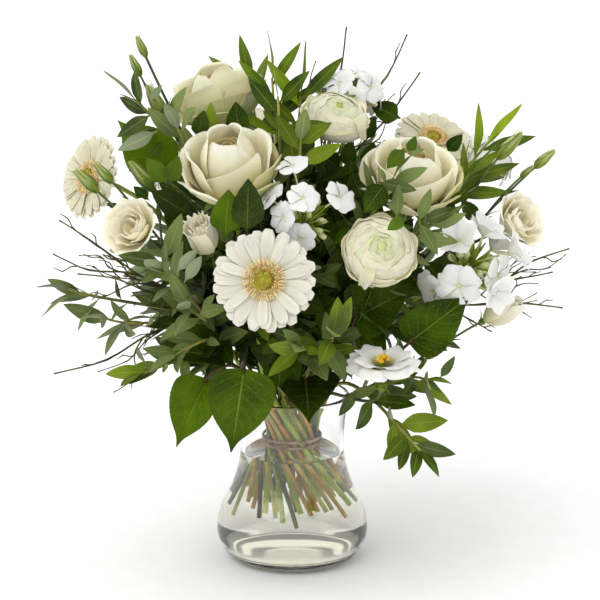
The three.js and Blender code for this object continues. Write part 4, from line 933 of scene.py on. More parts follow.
def placedLeaf(root, tip, kind, tone):
    root, span = Vector(root), Vector(tip) - Vector(root)
    aim, out = span.normalized(), Vector((0.1, -1, 0.25)) * (1 if tone >= 0 else -1)
    pose = dict(root=root, aim=aim, face=square(out, aim).normalized(), length=span.length)
    return leafAt(leafModels[kind], pose, placedRng, abs(tone))


print("leaf models ready")

# Petals, modelled in shares of the bloom's radius round +Z from its foot. Each ring has its petal: the path from
# claw to lip as radius and height, half its spread in degrees, and how its edge rounds, curls and ruffles.
# tilt, turn: how unevenly the petals lean, and how far round the first one stands, in petals.
def globeRings():
    rings = [dict(count=5, half=48, path=((0.1, 0.0), (0.5, 0.04), (0.86, 0.2), (1.0, 0.4), (1.05, 0.52)),
                  round=0.2, edge=2.0, ruffle=0.05, tilt=0.14)]
    for k, tip in enumerate((12, 25, 36, 46, 55, 63, 70, 76, 82)):  # degrees up the globe to each ring's lips
        size = 1 - 0.02 * k
        angles = [math.radians(max(tip - back, -50)) for back in (76, 48, 24, 0)]
        ball = ((0.98 * size * math.cos(a), 0.42 + 0.55 * size * math.sin(a)) for a in angles)
        count = (6, 6, 6, 6, 5, 5, 5, 4, 4)[k]
        rings.append(dict(
            count=count, half=276 / count, path=((0.1, 0.03 * k), *ball), round=0.15 - 0.008 * k, edge=2.2, tilt=0.04,
            ruffle=0.018 - 0.0015 * k, turn=0.37 * k, look="ranunculus" if k < 6 else "ranunculusInner"))
    return rings


# The paths of a rose's petals: low lips, sides, tall ones, one that sweeps across, the bud's front and its wraps.
low = ((0.1, -0.2), (0.55, -0.12), (0.86, 0.06), (1.0, 0.28), (1.07, 0.42), (1.13, 0.4))
side = ((0.1, -0.18), (0.52, -0.1), (0.84, 0.14), (0.98, 0.46), (1.03, 0.74), (1.11, 0.8))
tall = ((0.1, -0.14), (0.46, -0.04), (0.72, 0.22), (0.84, 0.62), (0.86, 0.96), (0.95, 1.04))
sweep = ((0.1, -0.12), (0.46, -0.02), (0.72, 0.22), (0.79, 0.54), (0.81, 0.84), (0.9, 0.93))
front = ((0.1, -0.05), (0.4, 0.08), (0.6, 0.4), (0.61, 0.78), (0.49, 1.1), (0.35, 1.29))
wrap = ((0.1, 0.0), (0.38, 0.14), (0.58, 0.46), (0.58, 0.88), (0.42, 1.2), (0.34, 1.36), (0.38, 1.42))


def petalAt(degrees, half, path, **more):
    plain = {"count": 1, "turn": degrees / 360, "half": half, "path": path, "round": 0.2, "edge": 2.4, "tilt": 0.03}
    return {**plain, **more}


bloomRings = {
    "rose": [
        petalAt(348, 44, side, curl=0.2, look="roseGuard"), petalAt(316, 40, low, curl=0.2, look="roseGuard"),
        petalAt(240, 46, low, curl=0.3), petalAt(188, 44, side, curl=0.3), petalAt(140, 46, side, curl=0.3),
        petalAt(90, 48, side, curl=0.3, look="roseGuard"), petalAt(42, 46, side, curl=0.25, look="roseGuard"),
        petalAt(290, 56, sweep, sweep=0.36, round=0.05, tilt=0.0), petalAt(214, 46, tall, curl=0.2),
        petalAt(163, 54, tall, curl=0.3), petalAt(100, 58, tall, curl=0.3), petalAt(28, 54, tall, curl=0.3),
        petalAt(262, 76, front, round=0.06, pleat=0.05, tilt=0.0), petalAt(150, 84, wrap, curl=0.12),
        petalAt(35, 84, wrap, curl=0.12),
        dict(count=3, half=92, round=0.05, edge=3, pleat=0.06, tilt=0.02, turn=0.1, look="roseInner",
             path=((0.08, 0.1), (0.28, 0.28), (0.38, 0.6), (0.36, 0.86), (0.26, 1.06), (0.22, 1.14))),
        dict(count=2, half=120, round=0.05, edge=3, pleat=0.05, tilt=0.02, turn=0.3, look="roseInner",
             path=((0.05, 0.2), (0.14, 0.42), (0.18, 0.7), (0.16, 0.92), (0.12, 1.02), (0.11, 1.06))),
    ],
    "ranunculus": globeRings(),
    "open": [
        dict(count=5, half=48, path=((0.08, 0.0), (0.34, 0.22), (0.66, 0.56), (0.86, 0.9), (0.98, 1.08), (1.05, 1.06)),
             round=0.2, edge=2.0, ruffle=0.05, waves=2.5, curl=0.1, tilt=0.08),
        dict(count=5, half=50, path=((0.08, 0.05), (0.3, 0.3), (0.52, 0.62), (0.66, 0.94), (0.73, 1.15)),
             round=0.18, edge=2.0, ruffle=0.04, waves=2.5, tilt=0.06, turn=0.6, pleat=0.06),
        dict(count=4, half=62, path=((0.06, 0.1), (0.24, 0.36), (0.42, 0.7), (0.5, 1.0), (0.46, 1.17)),
             round=0.16, edge=2.2, ruffle=0.03, tilt=0.04, turn=0.2, pleat=0.08),
        dict(count=3, half=80, path=((0.04, 0.2), (0.15, 0.5), (0.28, 0.8), (0.3, 1.0), (0.24, 1.1)),
             round=0.14, edge=2.4, tilt=0.03, turn=0.9, pleat=0.08),
    ],
    "closed": [
        dict(count=5, half=50, path=((0.12, 0.0), (0.52, 0.3), (0.74, 0.8), (0.74, 1.4), (0.74, 1.85), (0.82, 2.0)),
             round=0.1, edge=1.6, ruffle=0.07, waves=4.5, tilt=0.04, fringe=0.08, pleat=0.08),
        dict(count=5, half=52, path=((0.1, 0.1), (0.42, 0.45), (0.58, 0.95), (0.56, 1.5), (0.58, 2.0)),
             round=0.08, edge=1.7, ruffle=0.07, waves=4.5, tilt=0.05, turn=0.6, fringe=0.08, pleat=0.1),
        dict(count=5, half=60, path=((0.06, 0.3), (0.26, 0.7), (0.38, 1.2), (0.36, 1.7), (0.36, 2.08)),
             round=0.08, edge=1.8, ruffle=0.06, waves=4, tilt=0.06, turn=0.2, fringe=0.07, pleat=0.1),
        dict(count=3, half=80, path=((0.04, 0.5), (0.14, 0.9), (0.2, 1.4), (0.18, 1.8), (0.18, 2.02)),
             round=0.08, edge=1.8, ruffle=0.05, waves=4, tilt=0.05, turn=0.7, fringe=0.05, pleat=0.1),
    ],
    "tulip": [
        dict(count=3, half=76, path=((0.12, 0.0), (0.44, 0.3), (0.63, 0.85), (0.61, 1.4), (0.46, 1.9), (0.36, 2.25)),
             round=0.26, edge=1.2, ruffle=0.03, tilt=0.04, pleat=0.08),
        dict(count=3, half=70, path=((0.1, 0.1), (0.34, 0.4), (0.5, 0.9), (0.46, 1.4), (0.3, 1.85), (0.2, 2.12)),
             round=0.16, edge=1.4, ruffle=0.03, tilt=0.03, turn=0.5, pleat=0.1),
    ],
    "bell": [
        dict(count=6, half=42, path=((0.08, 0.0), (0.22, 0.34), (0.44, 0.6), (0.74, 0.74), (1.0, 0.7), (1.2, 0.56)),
             round=0.17, edge=2.0, ruffle=0.09, waves=2.6, curl=0.1, tilt=0.07, look="bell"),
        dict(count=4, half=44, path=((0.08, 0.05), (0.2, 0.4), (0.42, 0.68), (0.72, 0.85), (0.98, 0.86)),
             round=0.2, edge=2.0, ruffle=0.06, waves=2.6, tilt=0.09, turn=0.35, look="bell"),
    ],
    "bud": [  # in shares of the bud's size, from its foot
        dict(count=3, half=88, path=((0.2, 0.0), (0.41, 0.6), (0.45, 1.1), (0.34, 1.8), (0.12, 2.6)),
             round=0.03, edge=2, pleat=0.07, spiral=1.5, tilt=0.0, look="budPetal"),
    ],
}
petalLooks = {"rose": "rosePetal", "ranunculus": "ranunculus", "open": "lisianthus", "closed": "lisianthus",
              "tulip": "lisianthus", "bell": "bell", "bud": "budPetal"}
greenRings = {  # sepals and bracts, from the same foot
    "rose": [dict(count=5, half=22, path=((0.06, -0.3), (0.2, -0.26), (0.4, -0.24), (0.6, -0.3), (0.7, -0.44)),
                  shares=(0.8, 1, 0.8, 0.5, 0.04))],
    "gerbera": [dict(count=13, half=15, path=((0.07, -0.32), (0.2, -0.2), (0.29, -0.08), (0.38, -0.02)),
                     shares=(0.9, 1, 0.7, 0.06)),
                dict(count=13, half=15, path=((0.09, -0.34), (0.22, -0.24), (0.3, -0.14), (0.34, -0.06)),
                     shares=(0.9, 1, 0.7, 0.06), turn=0.5)],
    "ranunculus": [dict(count=5, half=26, path=((0.06, -0.22), (0.2, -0.1), (0.36, -0.08), (0.48, -0.2)),
                        shares=(0.8, 1, 0.8, 0.1))],
    "lisianthus": [dict(count=5, half=13, path=((0.08, -0.26), (0.18, -0.1), (0.36, 0.0), (0.58, 0.06)),
                        shares=(0.9, 1, 0.6, 0.05))],
    "bud": [dict(count=5, half=17, shares=(1.4, 1.25, 1.0, 0.75, 0.5, 0.1),
                 path=((0.2, -0.1), (0.44, 0.3), (0.53, 0.9), (0.44, 1.6), (0.34, 2.2), (0.38, 2.75)))],
}


def ringPetal(name, ring, look, seed, columns, rows):
    phase = Random(seed).uniform(0, 6.28)
    shares = ring.get("shares", (0.7, 0.85, 0.96, 1, 1, 0.97, 0.86, 0.6))
    waves, ruffle, curl = ring.get("waves", 2), ring.get("ruffle", 0), ring.get("curl", 0)

    def place(x, v):
        radius, height = curveAt(ring["path"], v * (1 - ring.get("round", 0) * abs(x) ** ring.get("edge", 2)))
        roll = curl * smoothStep(0.45, 1, v) * max(0, abs(x) - 0.3) ** 2 * 2
        wave = ruffle * v**3 * math.sin(x * waves * math.pi + phase)
        fringe = ring.get("fringe", 0) * smoothStep(0.85, 1, v) * math.cos(x * 11 + 2 * phase)
        angle = math.radians(ring["half"]) * x + ring.get("spiral", 0) * v
        radius += roll + wave + ring.get("pleat", 0.025) * x * min(1, v * 3)
        height += 0.5 * wave - 0.7 * roll + fringe + ring.get("ribs", 0) * math.cos(x * 2.5 * math.pi)
        height += ring.get("lap", 0) * x * min(1, v * 3) + ring.get("sweep", 0) * x * v
        return Vector((radius * math.cos(angle), radius * math.sin(angle), height))

    return sheetModel(name, columns, rows, shares, place, ring.get("thick", 0.007), [looks[look]])


def ringsOf(kind, table, plainLook, columns=7, rows=8, variants=2):
    made = []
    for i, ring in enumerate(table[kind]):
        look = ring.get("look", plainLook)
        made.append((ring, [ringPetal(f"{kind}Petal{i}_{k}", ring, look, 10 * i + k, columns, rows)
                            for k in range(min(variants, ring["count"]))]))
    return made


petalModels = {}
for kind in bloomRings:
    columns, rows = (14, 11) if kind == "rose" else (10, 9)
    petalModels[kind] = ringsOf(kind, bloomRings, petalLooks[kind], columns, rows)
sepalModels = {kind: ringsOf(kind, greenRings, "sepal", 4, 5, 1) for kind in greenRings}
cupProfile = ((0, -0.36), (0.07, -0.33), (0.16, -0.2), (0.19, -0.08), (0.14, 0.0), (0, 0.02))
cupModel = spunModel("flowerCup", cupProfile, 10, looks["sepal"])
print("petal models ready")


def ringCopies(rings, matrix, draw):
    parts = []
    for ring, choices in rings:
        for k in range(ring["count"]):
            turn = 2 * math.pi * (k + ring.get("turn", 0)) / ring["count"] + draw.uniform(-0.07, 0.07)
            lean = turned(draw.uniform(-1, 1) * ring.get("tilt", 0), "Y")
            size = Matrix.Scale(draw.uniform(0.97, 1.02), 4)
            place = matrix @ turned(turn) @ lean @ size
            parts.append(copyOf(choices[k % len(choices)], place, draw.random()))
    return parts


def facing(item):
    return Vector(item["face"]).normalized()


def footOf(item, kind):
    return Vector(item["at"]) - facing(item) * depths[kind] * item["size"]


def bloomMatrix(item, kind):
    return stand(footOf(item, kind) * mm, facing(item), item["size"] * mm)


def greenFoot(item, kind, sepals, draw):
    matrix = bloomMatrix(item, kind)
    return [copyOf(cupModel, matrix, 0.4), *ringCopies(sepalModels[sepals], matrix, draw)]


# Flowers on single stems: petals, then stem with calyx and leaves.
bloomFeet = {"rose": (0.34, 2.2), "gerbera": (0.34, 2.2), "ranunculus": (0.3, 1.9)}  # cup's depth, stem's radius


def buildStem(name, item, kind, seed):
    node, draw = name + "_stem", Random(seed)
    depth, top = bloomFeet[kind]
    axis = facing(item)
    neck = footOf(item, kind) - axis * depth * item["size"] * 0.8
    shoot, cut = growStem(name, cornersOf(node), neck, axis, top, 3)
    parts = [strandsOf(node, [stemStrand(shoot, cut)], looks["stemGreen"], 2)]
    parts += greenFoot(item, kind, kind, draw)
    if kind == "rose":
        parts += pairedLeaves(leafPoses(node, "rose"), leafModels["rose"], [shoot], draw)
    for row in placedLeaves.get(name, ()):
        parts.append(placedLeaf(*row))
        root = Vector(row[0])
        stalk = smoothPath([root.lerp(heart, 0.35) - up * 12, root.lerp(heart, 0.12), root + up * 2], 4)
        parts.append(strandsOf("leafStalk", [(stalk, [0.6] * 9)], looks["stemBlue"]))
    finishPiece(camel(node), parts, "green_stem", node)


roseTurns = {  # how each bloom is turned on its stem, and how tall it is
    "rose_front": (0, 1.0), "rose_top": (28, 0.84), "rose_right": (-22, 0.93), "rose_rear": (200, 0.95)}
for i, (name, item) in enumerate(roses.items()):
    degrees, tallness = roseTurns[name]
    place = bloomMatrix(item, "rose") @ turned(math.radians(degrees)) @ Matrix.Diagonal((1, 1, tallness, 1))
    parts = ringCopies(petalModels["rose"], place, Random(i + 1))
    piece = finishPiece(camel(name + "_petals"), parts, "rose_petal", name + "_petals")
    # the top rose takes the painted-shade copy of the petal finish
    if name == "rose_top":
        slot = piece.data.materials.find("rosePetalIvory")
        piece.data.materials[slot] = looks["roseShaded"]
    buildStem(name, item, "rose", 20 + i)

looseRing = dict(count=1, half=12, path=((0.5, 0.62), (0.7, 0.76), (0.86, 0.74), (0.98, 0.54), (1.08, 0.22)),
                 round=0.1, edge=2.2, ruffle=0.03, shares=(0.6, 0.8, 0.95, 1, 1, 0.85, 0.5))  # a petal that sags
looseModels = ringsOf("loose", {"loose": [looseRing]}, "ranunculus")
looseTurns = {"ranunculus_front": 238, "ranunculus_top": 300}  # degrees round the bloom
eyeProfile = ((0, 0.5), (0.16, 0.6), (0.19, 0.78), (0.13, 0.87), (0, 0.89))
eyeKnob = spunModel("ranunculusEyeKnob", eyeProfile, 9, looks["greenEye"])
for i, (name, item) in enumerate(ranunculus.items()):
    matrix, draw = bloomMatrix(item, "ranunculus"), Random(i + 40)
    parts = ringCopies(petalModels["ranunculus"], matrix, draw) + [copyOf(eyeKnob, matrix)]
    if name in looseTurns:
        parts += ringCopies(looseModels, matrix @ turned(math.radians(looseTurns[name])), draw)
    finishPiece(camel(name + "_petals"), parts, "ranunculus_petal", name + "_petals")
    buildStem(name, item, "ranunculus", 50 + i)

# Gerberas: two full rows of ribbed rays, a short row, a fringe of strap florets, and a domed eye of small buds.
plainRay = dict(round=0.1, edge=1.9, shares=(1.2, 1.18, 1.15, 1.1, 1.06, 1.02, 0.97, 0.88, 0.72, 0.36))
gerberaRings = {
    "gerbera": [
        dict(count=21, half=11.4, ribs=0.008, tilt=0.025, lap=0.012, **plainRay,
             path=((0.12, -0.005), (0.35, 0.01), (0.6, 0.03), (0.85, 0.055), (1.03, 0.045))),
        dict(count=19, half=11.6, ribs=0.009, tilt=0.03, turn=0.5, lap=0.014, **plainRay,
             path=((0.12, 0.03), (0.35, 0.06), (0.6, 0.085), (0.8, 0.1), (0.97, 0.09))),
        dict(count=7, half=10.2, ribs=0.008, tilt=0.03, turn=0.2, lap=0.012, **plainRay,
             path=((0.12, 0.05), (0.3, 0.09), (0.5, 0.115), (0.74, 0.125), (0.92, 0.11))),
    ],
    "fringe": [
        dict(count=84, half=1.7, path=((0.3, 0.08), (0.34, 0.12), (0.38, 0.135), (0.43, 0.12)),
             shares=(1.3, 1.2, 1, 0.3), tilt=0.16, thick=0.01),
    ],
}
seedHead = dict(buds=380, reach=0.37, opens=0.205, dome=0.135, ring=0.085)  # opens: where the buds stand open
rayModels = ringsOf("gerbera", gerberaRings, "gerberaRay", 6, 9)
fringeModels = ringsOf("fringe", gerberaRings, "gerberaFringe", 2, 3)
budProfile = ((0, 0), (0.012, 0.01), (0.014, 0.03), (0, 0.044))
floretProfile = ((0, 0), (0.008, 0.01), (0.015, 0.05), (0.012, 0.072), (0, 0.08))
bedProfile = ((0, 0.03), (0.27, 0.03), (0.3, 0.06), (0.24, 0.1), (0.17, 0.07), (0.1, 0.085), (0, 0.1))
floretModel = spunModel("gerberaFloret", floretProfile, 5, looks["anther"])
eyeModel = spunModel("gerberaEyeBud", budProfile, 5, looks["eye"])
shadeSideModel = spunModel("gerberaShadeSideBud", budProfile, 5, looks["eyeShadeSide"])
bedModel = spunModel("gerberaBed", bedProfile, 18, looks["eye"])


def buildGerbera(name, item, seed):
    matrix, draw = bloomMatrix(item, "gerbera"), Random(seed)
    rays = ringCopies(rayModels, matrix, draw)
    piece = finishPiece(camel(name + "_rays"), rays, "white_petal", name + "_rays")
    # the two that face away take the painted-shade copy of the rays
    if name != "gerbera_front":
        piece.data.materials[0] = looks["gerberaShaded"]
    disc = [copyOf(bedModel, matrix), *ringCopies(fringeModels, matrix, draw)]
    for k in range(seedHead["buds"]):  # in the spiral of a seed head, opened in a raised ring towards the edge
        reach, turn = seedHead["reach"] * math.sqrt((k + 0.5) / seedHead["buds"]), k * goldenAngle
        opened = reach > seedHead["opens"]
        height = seedHead["ring"] if opened else seedHead["dome"] - 1.6 * reach * reach
        height += draw.uniform(-0.006, 0.006)
        spot = Matrix.Translation((reach * math.cos(turn), reach * math.sin(turn), height))
        lean = turned(turn) @ turned((3.6 * (reach - 0.17) if opened else 0) + draw.uniform(-0.2, 0.2), "Y")
        inPaintedShade = reach > 0.16 - 0.02 * math.cos(turn) and math.cos(turn - 0.1) > -0.1  # painted shade, along the one side of the eye that lies in shadow
        model = floretModel if opened else shadeSideModel if inPaintedShade else eyeModel
        disc.append(copyOf(model, matrix @ spot @ lean, draw.random()))
    finishPiece(camel(name + "_disc"), disc, "gerbera_disc", name + "_disc")


for i, (name, item) in enumerate(gerberas.items()):
    buildGerbera(name, item, 60 + i)
    buildStem(name, item, "gerbera", 70 + i)
print("roses, ranunculus and gerberas built")


# Lisianthus: blooms, then each plant's stem with its buds.
def budParts(tip, size, draw):
    point = Vector(tip)
    axis = ((point - Vector((0, 0, 240))).normalized() + up * 0.25).normalized()
    foot = point - axis * 2.6 * size
    matrix = stand(foot * mm, axis, size * mm)
    parts = ringCopies(petalModels["bud"], matrix, draw) + ringCopies(sepalModels["bud"], matrix, draw)
    return parts, foot + axis, axis


def buildBell(matrix):
    threads, anthers = [], []
    for k in range(6):  # five stamens, and a taller one in their middle
        turn, reach, top = (k * math.pi / 3, 0.13, 0.8) if k < 5 else (0, 0, 0.88)
        foot = Vector((reach * 0.5 * math.cos(turn), reach * 0.5 * math.sin(turn), 0.2))
        head = Vector((reach * 1.2 * math.cos(turn), reach * 1.2 * math.sin(turn), top))
        thread = (foot, foot.lerp(head, 0.6), head)
        anther = (head.lerp(foot, 0.12), head, head + (head - foot) * 0.2)
        threads.append(([matrix @ spot / mm for spot in thread], [0.5, 0.5, 0.45]))
        anthers.append(([matrix @ spot / mm for spot in anther], [0.9, 2.7, 0.8]))
    return [strandsOf("bellThreads", threads, looks["spike"]), strandsOf("bellAnthers", anthers, looks["stamen"])]


def buildLisianthus(name, plant, seed):
    draw, node = Random(seed), name + "_stem"
    green, ends = [], []
    for bloomName, bloom in plant["blooms"].items():
        kind = bloom["kind"]
        matrix = bloomMatrix(bloom, kind)
        stamens = []
        if kind == "bell":
            matrix = matrix @ turned(math.radians(-13), "X") @ Matrix.Scale(0.88, 4)  # level, as it opens flat
            stamens = buildBell(matrix)
        parts = ringCopies(petalModels[kind], matrix, draw) + stamens
        finishPiece(camel(bloomName + "_petals"), parts, "lisianthus_petal", bloomName + "_petals")
        green += greenFoot(bloom, kind, "lisianthus", draw)
        ends.append((footOf(bloom, kind) - facing(bloom) * 0.27 * bloom["size"], facing(bloom)))
    for x, y, z, size in plant["buds"]:
        parts, foot, axis = budParts((x, y, z), size, draw)
        green += parts
        ends.append((foot, axis))
    known = cornersOf(node)
    (end, axis), *others = ends
    main, cut = growStem(name, known, end, axis, 1.3)
    shoots, strands = [main], [stemStrand(main, cut)]
    for k, (end, axis) in enumerate(others):
        shoot = sideShoot(known, main["path"], 0.5 + 0.12 * k, end, axis, (1.3, 1.1))
        if shoot:
            shoots.append(shoot)
            strands.append(stemStrand(shoot))
    green.append(strandsOf(node, strands, looks["stemBlue"]))
    for pose in leafPoses(node, "lisianthus"):
        green.append(leafAt(leafModels["lisianthus"], pose, draw))
    for shoot in shoots:  # small pointed leaves at the forks
        for t in (0.45, 0.7):
            point, tangent = spotOn(shoot["fine"], t)
            side = across(tangent)[0]
            aim = (tangent + side * draw.uniform(-0.6, 0.6)).normalized()
            pose = dict(root=point, aim=aim, face=square(up, aim).normalized(), length=draw.uniform(14, 24))
            green.append(leafAt(leafModels["lisianthus"], pose, draw))
    finishPiece(camel(node), green, "lisianthus_green", node)


for i, (name, plant) in enumerate(lisianthus.items()):
    buildLisianthus(name, plant, 80 + i)

# Phlox: a dome of five-lobed florets on thin tubes, with green spiky calyxes and round cream buds between them.
phloxLobe = dict(count=5, half=42, path=((0.05, -0.08), (0.2, 0.02), (0.52, 0.09), (0.84, 0.07), (1.0, -0.02)),
                 shares=(1, 0.96, 0.94, 0.96, 1, 0.94, 0.66), round=0.07, edge=2.4, tilt=0.08, ruffle=0.07, waves=1.6,
                 thick=0.02, pleat=0.0, lap=0.06)
cuppedLobe = {**phloxLobe, "half": 46, "ruffle": 0.1, "tilt": 0.3,
              "path": ((0.05, -0.08), (0.18, 0.02), (0.46, 0.2), (0.72, 0.36), (0.9, 0.42))}
lobeRings = ringsOf("phlox", {"phlox": [phloxLobe, phloxLobe, cuppedLobe]}, "phlox", 5, 6)
tubeProfile = ((0, -1.4), (0.05, -1.4), (0.06, -0.4), (0.08, -0.05), (0, -0.06))
tubeModel = spunModel("phloxTube", tubeProfile, 6, looks["phloxBud"])
floretRng = Random(5)
florets = []
for k, lobes in enumerate(lobeRings):
    parts = ringCopies([lobes], turned(0.3 * k), floretRng) + [copyOf(tubeModel, Matrix())]
    florets.append(keepModel(joined(f"phloxFloret{k}", parts)))
openHeads = ("phlox_right", "phlox_rear")  # heads whose middle has no floret yet
placedFlorets = {  # from the middle of the head
    "phlox_centre": ((-6, -24, 22), (-21, -19, 3), (30, -17, 21), (-11, 2, 46), (-31, -3, 19), (-8, -19, -12)),
    "phlox_right": (
        (-24, -8, 25), (5, 6, 26), (28, -2, 9), (17, -16, -9), (7, -24, -20), (-19, -22, -15), (-36, -8, -24),
        (16, 20, 8), (-10, 16, -20)),
}
spikeProfile = ((0, 0), (0.045, 0.05), (0.07, 0.45), (0.045, 0.8), (0, 1.0))
spikeModel = spunModel("phloxSpike", spikeProfile, 5, looks["spike"])
roundProfile = ((0, 0), (0.06, 0.06), (0.07, 0.4), (0.2, 0.7), (0.17, 0.95), (0, 1.08))
roundBud = spunModel("phloxRoundBud", roundProfile, 6, looks["phloxBud"])
calyxes = 60  # on each head


def domeDirections(counts, tilts):
    return [
        onDome(tilt, 2 * math.pi * (k + 0.5 * (row % 2)) / count)
        for row, (count, tilt) in enumerate(zip(counts, tilts)) for k in range(count)]


def buildPhlox(name, item, i):
    draw, more, size, axis = dice(100 + i), Random(110 + i), item["size"], facing(item)
    foot = Vector(item["at"]) - axis * 0.6 * size
    head = stand(foot * mm, axis)
    parts, pedicels = [], []

    def addFloret(direction, reach, radius):
        matrix = head @ stand(direction * reach * mm, direction, radius * mm) @ turned(more.uniform(0, 6.28))
        model = florets[more.randrange(3 if opened else 2)]
        parts.append(copyOf(model, matrix @ turned(more.uniform(-0.25, 0.25), "X"), more.random()))
        pedicels.append(([head @ Vector() / mm, head @ (direction * reach * 0.35 * mm) / mm], [1.0, 0.7]))

    inHead = head.to_3x3().inverted()
    opened = name in openHeads
    if name in placedFlorets:
        directions = [inHead @ (Vector(spot) + axis * 0.6 * size) / size for spot in placedFlorets[name]]
    elif opened:
        directions = [way * 1.05 for way in domeDirections((6, 4), (1.12, 1.75))]
    else:
        directions = [way * mix(0.86, 1.04, draw()) for way in domeDirections((1, 5, 3), (0, 0.92, 1.4))]
    for direction in directions:
        turnedAway = (direction + scatter(more, 0.16)).normalized()
        addFloret(turnedAway, size * direction.length, (more.uniform(0.5, 0.6) + 0.09 * opened) * size)
    for k in range(calyxes):  # they stand between the florets, and some carry a bud
        direction = onDome(math.acos(1 - (0.7 if opened else 1.2) * (k + 0.5) / calyxes), k * goldenAngle)
        length = size * (more.uniform(0.5, 0.68) if opened else more.uniform(0.4, 0.56))
        low = direction * size * more.uniform(0.24, 0.46) * mm
        matrix = head @ stand(low, (direction + scatter(more, 0.2)).normalized(), length * mm)
        parts.append(copyOf(roundBud if k % (7 if opened else 3) == 0 else spikeModel, matrix, more.random()))
        pedicels.append(([head @ Vector() / mm, head @ low / mm], [0.9, 0.7]))
    neck = Vector(item["at"]) - axis * 0.95 * size
    shoot, cut = growStem(name, cornersOf(name), neck, axis, 1.9, 3)
    points, radii = stemStrand(shoot, cut)
    pedicels.append((points + [foot], radii + [1.6]))
    parts.append(strandsOf(name, pedicels, looks["stemGreen"]))
    finishPiece(camel(name) + "Head", parts, "phlox", name)


for i, (name, item) in enumerate(phloxes.items()):
    buildPhlox(name, item, i)
print("lisianthus and phlox built")


# Sprays: shoots with leaves in pairs.
halfFresh = ("eucalyptus_lower_right", "eucalyptus_centre", "eucalyptus_lower_left")  # young leaves among old ones


def buildSpray(name, tips, seed):
    draw, kind = Random(seed), name.split("_")[0]
    fan, known = Vector((0, 0, 170)), cornersOf(name)
    leafSet = leafModels["fresh"] if name == "eucalyptus_top" else leafModels[kind]
    if name in halfFresh:
        leafSet = leafSet + leafModels["fresh"]

    def aimOf(tip):
        return ((tip - fan).normalized() + up * (-0.35 if tip.z < 250 else 0)).normalized()

    lead, *others = [Vector(tip) for tip in tips]
    main = growStem(name, known, lead, aimOf(lead), 1.2)[0]
    shoots = [main]
    for k, tip in enumerate(others):
        shoot = sideShoot(known, main["path"], 0.42 + 0.12 * k, tip, aimOf(tip), (1.4, 1.1))
        shoots += [shoot] if shoot else []
    parts = [strandsOf(name, [stemStrand(shoot) for shoot in shoots], looks["stemYellow"]), footStrand(name, 2.1)]
    parts += [placedLeaf(*row) for row in placedLeaves.get(name, ())]
    parts += pairedLeaves(leafPoses(name, kind), leafSet, shoots, draw)
    for shoot in shoots:
        parts += crownLeaves(shoot, leafSet, leafKinds[kind]["length"], draw, 5 if kind == "pistachio" else 3)
    finishPiece(camel(name) + "Spray", parts, "bright_leaf" if kind == "pistachio" else "eucalyptus", name)


for i, (name, tips) in enumerate(sprays.items()):
    buildSpray(name, tips, 120 + i)


# Broad leaves: heart-shaped, finely toothed, folded along the rib, with the tip drooping.
broadShares = (0.1, 0.66, 0.9, 0.99, 1.0, 0.98, 0.92, 0.83, 0.71, 0.56, 0.38, 0.19, 0.08, 0.01)


def broadLeaf(name, foot, tip, width, look, seed, tone):
    start, end = Vector(foot), Vector(tip)
    length, aim = (end - start).length, (end - start).normalized()
    normal = square(Vector(look), aim).normalized()
    phase = Random(seed).uniform(0, 6)

    def place(x, v):
        tooth = 1 + 0.016 * (round(v * 34) % 2) * (abs(x) > 0.9 * valueAt(broadShares, v))
        back = 0.1 * abs(x) * (1 - v) ** 4
        rise = 1 + 14 * abs(x) ** 1.1 - 10 * v * v + 1.8 * math.sin(v * 9 + phase) * abs(x)
        return Vector((x * width / 2 * tooth, (v - back) * length, rise))

    model = sheetModel(name, 8, 34, broadShares, place, 0.7, [looks["broadTop"], looks["broadUnder"]], True)
    side = aim.cross(normal)
    return copyOf(model, basis(side, aim, normal, start * mm, mm), tone)


broadTones = {  # 0 is an old dark leaf, 1 a young bright one
    "salal_lower_left": (0.6, 0.35, 0.2), "salal_rim": (0.1,), "salal_right": (0.12, 0.05),
    "salal_upper_left": (0.95,), "salal_rear": (0.5, 0.2, 0.7)}


def buildSalal(name, leaves, seed):
    known = cornersOf(name)

    def endOf(leaf):
        foot, tip, _, look = leaf
        aim = ((Vector(tip) - Vector(foot)).normalized() + up * 0.35).normalized()
        return Vector(foot) + Vector(look).normalized() * 4 + aim * 4, aim

    main = growStem(name, known, *endOf(leaves[0]), 1.4)[0]
    strands = [stemStrand(main)]
    for leaf in leaves[1:]:
        shoot = sideShoot(known, main["path"], 0.4, *endOf(leaf), (1.5, 1.3))
        if shoot:
            strands.append(stemStrand(shoot))
    parts = [strandsOf(name, strands, looks["innerStem"]), footStrand(name, 2)]
    for k, (leaf, tone) in enumerate(zip(leaves, broadTones[name])):
        parts.append(broadLeaf(f"{name}Leaf{k}", *leaf, seed + k, tone))
    finishPiece(camel(name) + "Branch", parts, "salal", name)


for i, (name, leaves) in enumerate(salals.items()):
    buildSalal(name, leaves, 200 + 10 * i)
print("sprays and broad leaves built")


# The balls that the blooms fill, so that twigs and inner leaves keep out of them.
def clearOfBlooms(point, margin):
    return all((point - centre).length > radius + margin for centre, radius in bloomBalls)


bloomBalls = []
for kind, group in (("rose", roses), ("gerbera", gerberas), ("ranunculus", ranunculus)):
    for item in group.values():
        bloomBalls.append((footOf(item, kind) + facing(item) * item["size"] * 0.55, item["size"]))
for plant in lisianthus.values():
    for bloom in plant["blooms"].values():
        bloomBalls.append((footOf(bloom, bloom["kind"]) + facing(bloom) * bloom["size"] * 0.7, bloom["size"]))
for item in phloxes.values():
    bloomBalls.append((Vector(item["at"]), item["size"]))


# Twigs: crooked and knobbly, forking again into fine ends.
def knobbly(points, ends, draw):
    spots, radii = [], []
    for i, (point, radius) in enumerate(zip(points, taper(ends, len(points)))):
        knot = 1.35 if i % 4 == 0 and i else 1.0
        spots.append(point + scatter(draw, 0.3) if 0 < i < len(points) - 1 else point)
        radii.append(radius * knot)
    return spots, radii


